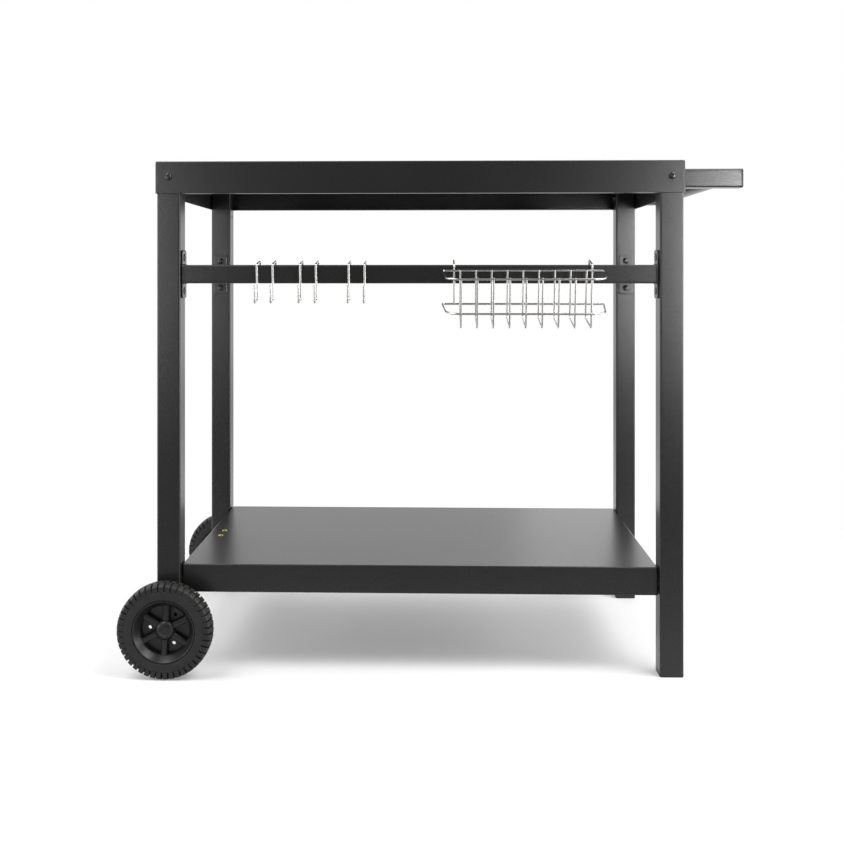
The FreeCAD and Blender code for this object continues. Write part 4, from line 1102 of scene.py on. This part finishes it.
def rail_reach(tilt, wire):
    """How far a wire's centre line stays from the rail's."""
    return rail_half * math.cos(tilt) + (rail_half - CHAMFER) * math.sin(tilt) + HANG_GAP + wire / 2


print("rail height in metres", round(rail_z, 3))

# %% [markdown]
# Three double hooks hang over the rail. Each is one wire: from a prong's tip down and back to the rail,
# up its front, over it and down behind it, then across and the same way back to the second prong. So the
# path is one arm's points followed by the same points in reverse, on the other side of the hook's middle.

# %% Double hooks
HOOK_WIRE = 3.5 * MM
HOOK_TILT = math.radians(7.5)
HOOK_BEND = 4 * MM
HOOK_HALF_SPACING = 12.75 * MM
HOOK_THROAT = 30 * MM
HOOK_DROP = 39.4 * MM
HOOK_PRONG = 27.5 * MM
HOOK_TAIL = 10 * MM
reach = rail_reach(HOOK_TILT, HOOK_WIRE)
arm = [
    (reach + HOOK_THROAT, HOOK_PRONG - HOOK_DROP), (reach + HOOK_THROAT, -HOOK_DROP), (reach, -HOOK_DROP),
    (reach, reach), (-reach, reach), (-reach, -HOOK_TAIL),
]
for number in (1, 2, 3):
    node = f"double_hook_{number}"
    low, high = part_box(node)
    middle = (low.x + high.x) / 2
    left, right = middle - HOOK_HALF_SPACING, middle + HOOK_HALF_SPACING
    points = [on_rail(left, ahead, above, HOOK_TILT) for ahead, above in arm]
    points += [on_rail(right, ahead, above, HOOK_TILT) for ahead, above in reversed(arm)]
    bends = [HOOK_BEND] * len(points)
    wire_piece(f"hook_wire_{number}", [points], bends, HOOK_WIRE, f"hook_{number}", node)
print("hook reach in millimetres", round(reach / MM, 2))

# %% [markdown]
# The basket is two closed hoops with slanted ends and rounded front corners, a row of U-shaped ribs
# welded inside them and two hangers over the rail. The hoops follow one outline at two heights. Each rib
# and hanger repeats one course, at the places where the CAD node has its solids.

# %% Wire basket
HOOP_WIRE = 3.2 * MM
RIB_WIRE = 3.0 * MM
HANGER_WIRE = 3.5 * MM
BASKET_TILT = math.radians(11)
BASKET_DEPTH = 72 * MM
HOOP_TOP = 10.2 * MM
HOOP_SPACING = 54.6 * MM
FLOOR_DROP = 77.4 * MM
END_SLANT = 7 * MM
SMALL_BEND = 4 * MM
FRONT_BEND = 22 * MM
HANGER_TAIL = 12 * MM
WELD_GAP = 0.05 * MM
rib_step = (HOOP_WIRE + RIB_WIRE) / 2 + WELD_GAP
hanger = rail_reach(BASKET_TILT, HANGER_WIRE)
back = hanger + (HOOP_WIRE + HANGER_WIRE) / 2 + WELD_GAP
front = back + BASKET_DEPTH
low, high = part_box("basket_upper_hoop")
middle = (low.x + high.x) / 2
hoop_half = (high.x - low.x - HOOP_WIRE) / 2
front_half = hoop_half - END_SLANT
outline = [(-hoop_half, back), (hoop_half, back), (front_half, front), (-front_half, front)]
bends = [SMALL_BEND, SMALL_BEND, FRONT_BEND, FRONT_BEND]
for level, above in (("upper", HOOP_TOP), ("lower", HOOP_TOP - HOOP_SPACING)):
    points = [on_rail(middle + along, ahead, above, BASKET_TILT) for along, ahead in outline]
    node = f"basket_{level}_hoop"
    wire_piece(f"basket_{level}_ring", [points], bends, HOOP_WIRE, "basket", node, closed=True)
rib_top = HOOP_TOP + HOOP_WIRE / 2
rib_floor = HOOP_TOP - FLOOR_DROP
rib_back, rib_front = back + rib_step, front - rib_step
rib_course = [(rib_back, rib_top), (rib_back, rib_floor), (rib_front, rib_floor), (rib_front, rib_top)]
foot = HOOP_TOP - HOOP_SPACING - HOOP_WIRE / 2
hanger_course = [(hanger, foot), (hanger, hanger), (-hanger, hanger), (-hanger, -HANGER_TAIL)]


def repeat_course(node, course):
    """The course's points at the middle of each solid of a CAD node."""
    runs = []
    for low, high, _ in solid_boxes(node):
        along = (low.x + high.x) / 2
        runs.append([on_rail(along, ahead, above, BASKET_TILT) for ahead, above in course])
    return runs


ribs = repeat_course("basket_ribs", rib_course)
hangers = repeat_course("basket_hangers", hanger_course)
bends = [SMALL_BEND] * len(rib_course)
wire_piece("basket_rib_row", ribs, bends, RIB_WIRE, "basket", "basket_ribs")
wire_piece("basket_hanger_pair", hangers, bends, HANGER_WIRE, "basket", "basket_hangers")
print("ribs", len(ribs), "hangers", len(hangers))

# %% [markdown]
# The table was photographed level, from a little to the right of its middle and just below the worktop,
# with the frame shifted down so that the uprights stay upright. The camera repeats that: a level view
# with a lens shift.

# %% Camera
IMAGE_SIDE = 844
FOCAL_PIXELS = 1116.6
VANISHING_POINT = (405.5, 275.6)
CAMERA_FROM_TABLE = Vector((0.0295, -2.028, 0.6407))
CAMERA_YAW = 0.0282
SENSOR = 36.0
table_low, table_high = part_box("worktop")
table_middle = (table_low + table_high) / 2
lens = bpy.data.cameras.new("studio_camera")
lens.sensor_width = SENSOR
lens.lens = FOCAL_PIXELS / IMAGE_SIDE * SENSOR
lens.shift_x = 0.5 - VANISHING_POINT[0] / IMAGE_SIDE
lens.shift_y = VANISHING_POINT[1] / IMAGE_SIDE - 0.5
camera = link_object("studio_camera", lens)
camera.location = Vector((table_middle.x, table_middle.y, 0)) + CAMERA_FROM_TABLE
camera.rotation_euler = (math.pi / 2, 0, CAMERA_YAW)
scene.camera = camera
print("lens in millimetres", round(lens.lens, 1))

# %% [markdown]
# The studio is a white sweep behind the table, pale walls far out on both sides, a faint sky and a dim
# room on the camera's side. So black coat and plated wire show white where they look back or sideways,
# and dark where they look forward. The camera itself sees the surround as plain white. All this is one
# Background shader, whose strength follows the direction.

# %% Surround
FRONT_LIGHT = 0.2
SKY_LIGHT = 0.3
SIDE_LIGHT = 0.9
SWEEP_SPAN = (-0.2, 0.4)
SKY_SPAN = (0.4, 0.8)
SIDE_SPAN = (0.5, 0.75)
WHITE = (1.0, 1.0, 1.0, 1.0)


def split(tree, kind):
    """The X, Y and Z of a texture coordinate."""
    node = tree.nodes.new("ShaderNodeSeparateXYZ")
    tree.links.new(tree.nodes.new("ShaderNodeTexCoord").outputs[kind], node.inputs["Vector"])
    return node.outputs


world = bpy.data.worlds.new("studio")
scene.world = world
world.use_nodes = True
tree = world.node_tree
background = tree.nodes["Background"]
background.inputs["Color"].default_value = WHITE
way = split(tree, "Generated")
sweep_light = map_range(tree, way["Y"], *SWEEP_SPAN, FRONT_LIGHT, 1.0)
sky_light = map_range(tree, way["Z"], *SKY_SPAN, 0.0, SKY_LIGHT)
side_light = map_range(tree, math_node(tree, "ABSOLUTE", way["X"]), *SIDE_SPAN, 0.0, SIDE_LIGHT)
back_light = math_node(tree, "MAXIMUM", sweep_light, sky_light)
room_light = math_node(tree, "MAXIMUM", back_light, side_light)
camera_ray = tree.nodes.new("ShaderNodeLightPath").outputs["Is Camera Ray"]
tree.links.new(math_node(tree, "MAXIMUM", room_light, camera_ray), background.inputs["Strength"])
print("surround nodes", len(tree.nodes))

# %% [markdown]
# The floor is matt white paper that keeps the table's shadow and goes over to plain white further out, so
# that no edge shows. The camera always sees the paper's own colour. In reflections and bounced light the
# floor is painted darker in front of the table, towards black, as painted shade for the dim room on the
# camera's side, and stays full white under and behind the table: that keeps the underside and the lower
# faces dark. Far out to both sides, reflections see it as pale as the walls.

# %% Floor
FLOOR_HALF = 6.0
WHITE_FROM = 0.75
WHITE_BY = 1.3
# The painted shade on the floor in front of the table, along Y: where it is deepest, where its two ramps
# meet and where it clears.
SHADE_DEEPEST_Y = -1.0
SHADE_STEP_Y = -0.3
SHADE_CLEARS_Y = -0.2
SIDE_FROM = 0.9
SIDE_BY = 1.5
PAINTED_SHADOW_LIFT = 0.2
# Shares of the paper's colour that the painted shade leaves, and the black that it darkens towards.
FAR_UNSHADED = (0.2, 0.6)
NEAR_UNSHADED = (0.12, 1.0)
PAINTED_SHADE_BLACK = (0.0, 0.0, 0.0)
PAPER = (0.92, 0.92, 0.925)
bm = bmesh.new()
bmesh.ops.create_grid(bm, x_segments=1, y_segments=1, size=FLOOR_HALF)
floor = link_mesh("studio_floor", bm)
floor_paint = bpy.data.materials.new("studio_floor")
floor_paint.use_nodes = True
tree = floor_paint.node_tree
tree.nodes.remove(tree.nodes["Principled BSDF"])
place = split(tree, "Object")
rays = tree.nodes.new("ShaderNodeLightPath").outputs
camera_ray = rays["Is Camera Ray"]
# Painted shade: for all but camera rays the floor's colour darkens in front of the table, down to a fifth
# of the paper's, standing in for the dim room.
far_unshaded = map_range(tree, place["Y"], SHADE_DEEPEST_Y, SHADE_STEP_Y, *FAR_UNSHADED)
near_unshaded = map_range(tree, place["Y"], SHADE_STEP_Y, SHADE_CLEARS_Y, *NEAR_UNSHADED)
front_unshaded = math_node(tree, "MAXIMUM", far_unshaded, near_unshaded)
unshaded_share = math_node(tree, "MAXIMUM", front_unshaded, camera_ray)
matt = tree.nodes.new("ShaderNodeBsdfDiffuse")
tree.links.new(mix_colours(tree, unshaded_share, PAINTED_SHADE_BLACK, PAPER), matt.inputs["Color"])
white = tree.nodes.new("ShaderNodeEmission")
white.inputs["Color"].default_value = WHITE
squares = [math_node(tree, "POWER", place[side], 2.0) for side in ("X", "Y")]
distance = math_node(tree, "SQRT", math_node(tree, "ADD", *squares))
# Painted light: near the table the camera sees a fifth of plain white glow mixed in, which lightens the
# table's shadow; further out it goes over to full white.
far_white = map_range(tree, distance, WHITE_FROM, WHITE_BY, PAINTED_SHADOW_LIFT, 1.0)
seen_white = math_node(tree, "MULTIPLY", far_white, camera_ray)
sideways = math_node(tree, "ABSOLUTE", place["X"])
side_white = map_range(tree, sideways, SIDE_FROM, SIDE_BY, 0.0, SIDE_LIGHT)
mirrored_white = math_node(tree, "MULTIPLY", side_white, rays["Is Glossy Ray"])
fade = math_node(tree, "MAXIMUM", seen_white, mirrored_white)
blend = tree.nodes.new("ShaderNodeMixShader")
tree.links.new(fade, blend.inputs["Fac"])
tree.links.new(matt.outputs[0], blend.inputs[1])
tree.links.new(white.outputs[0], blend.inputs[2])
tree.links.new(blend.outputs[0], tree.nodes["Material Output"].inputs["Surface"])
floor.data.materials.append(floor_paint)
floor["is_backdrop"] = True
print("floor side in metres", 2 * FLOOR_HALF)

# %% [markdown]
# Two high lamps and two low ones light the table softly from both sides, and a weak one from behind. Two
# narrow strip lamps in front give the highlights on the skirt's end, the handle's arm and the legs. A
# strip's beam is kept narrow, so that its mirror image shows on the worktop in few views from behind.

# %% Lamps
def soft_lamp(name, place, target, width, height, power, beam=180):
    """A rectangular lamp that looks at a point, with a beam in degrees. The camera doesn't see it."""
    light = bpy.data.lights.new(name, "AREA")
    light.shape = "RECTANGLE"
    light.size = width
    light.size_y = height
    light.energy = power
    light.spread = math.radians(beam)
    lamp = link_object(name, light)
    lamp.location = place
    lamp.rotation_euler = (Vector(target) - Vector(place)).to_track_quat("-Z", "Y").to_euler()
    lamp.visible_camera = False


soft_lamp("lamp_high_left", (-1.3, -0.9, 2.5), (0.0, 0.0, 0.2), width=1.4, height=1.4, power=34)
soft_lamp("lamp_high_right", (1.3, -0.9, 2.5), (0.0, 0.0, 0.2), width=1.4, height=1.4, power=44)
soft_lamp("lamp_low_left", (-2.0, -0.2, 0.6), (0.0, 0.0, 0.1), width=1.6, height=0.8, power=10)
soft_lamp("lamp_low_right", (2.0, -0.2, 0.6), (0.0, 0.0, 0.1), width=1.6, height=0.8, power=26)
soft_lamp("lamp_right", (0.95, -1.4, 0.74), (0.46, 0.0, 0.72), width=0.2, height=0.56, power=0.78, beam=38)
soft_lamp("lamp_left", (-0.95, -1.4, 0.74), (-0.42, 0.0, 0.66), width=0.2, height=0.6, power=0.17, beam=40)
soft_lamp("lamp_back", (0.8, 2.0, 0.7), (0.2, 0.0, 0.2), width=1.0, height=1.0, power=1.5)
scene.view_settings.view_transform = "Standard"

# %% [markdown]
# The finished model has to keep the size of the CAD model, so its box is printed here, in metres.

# %% Size of the finished model
low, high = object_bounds()
print("visual box in metres", [round(side, 3) for side in high - low])
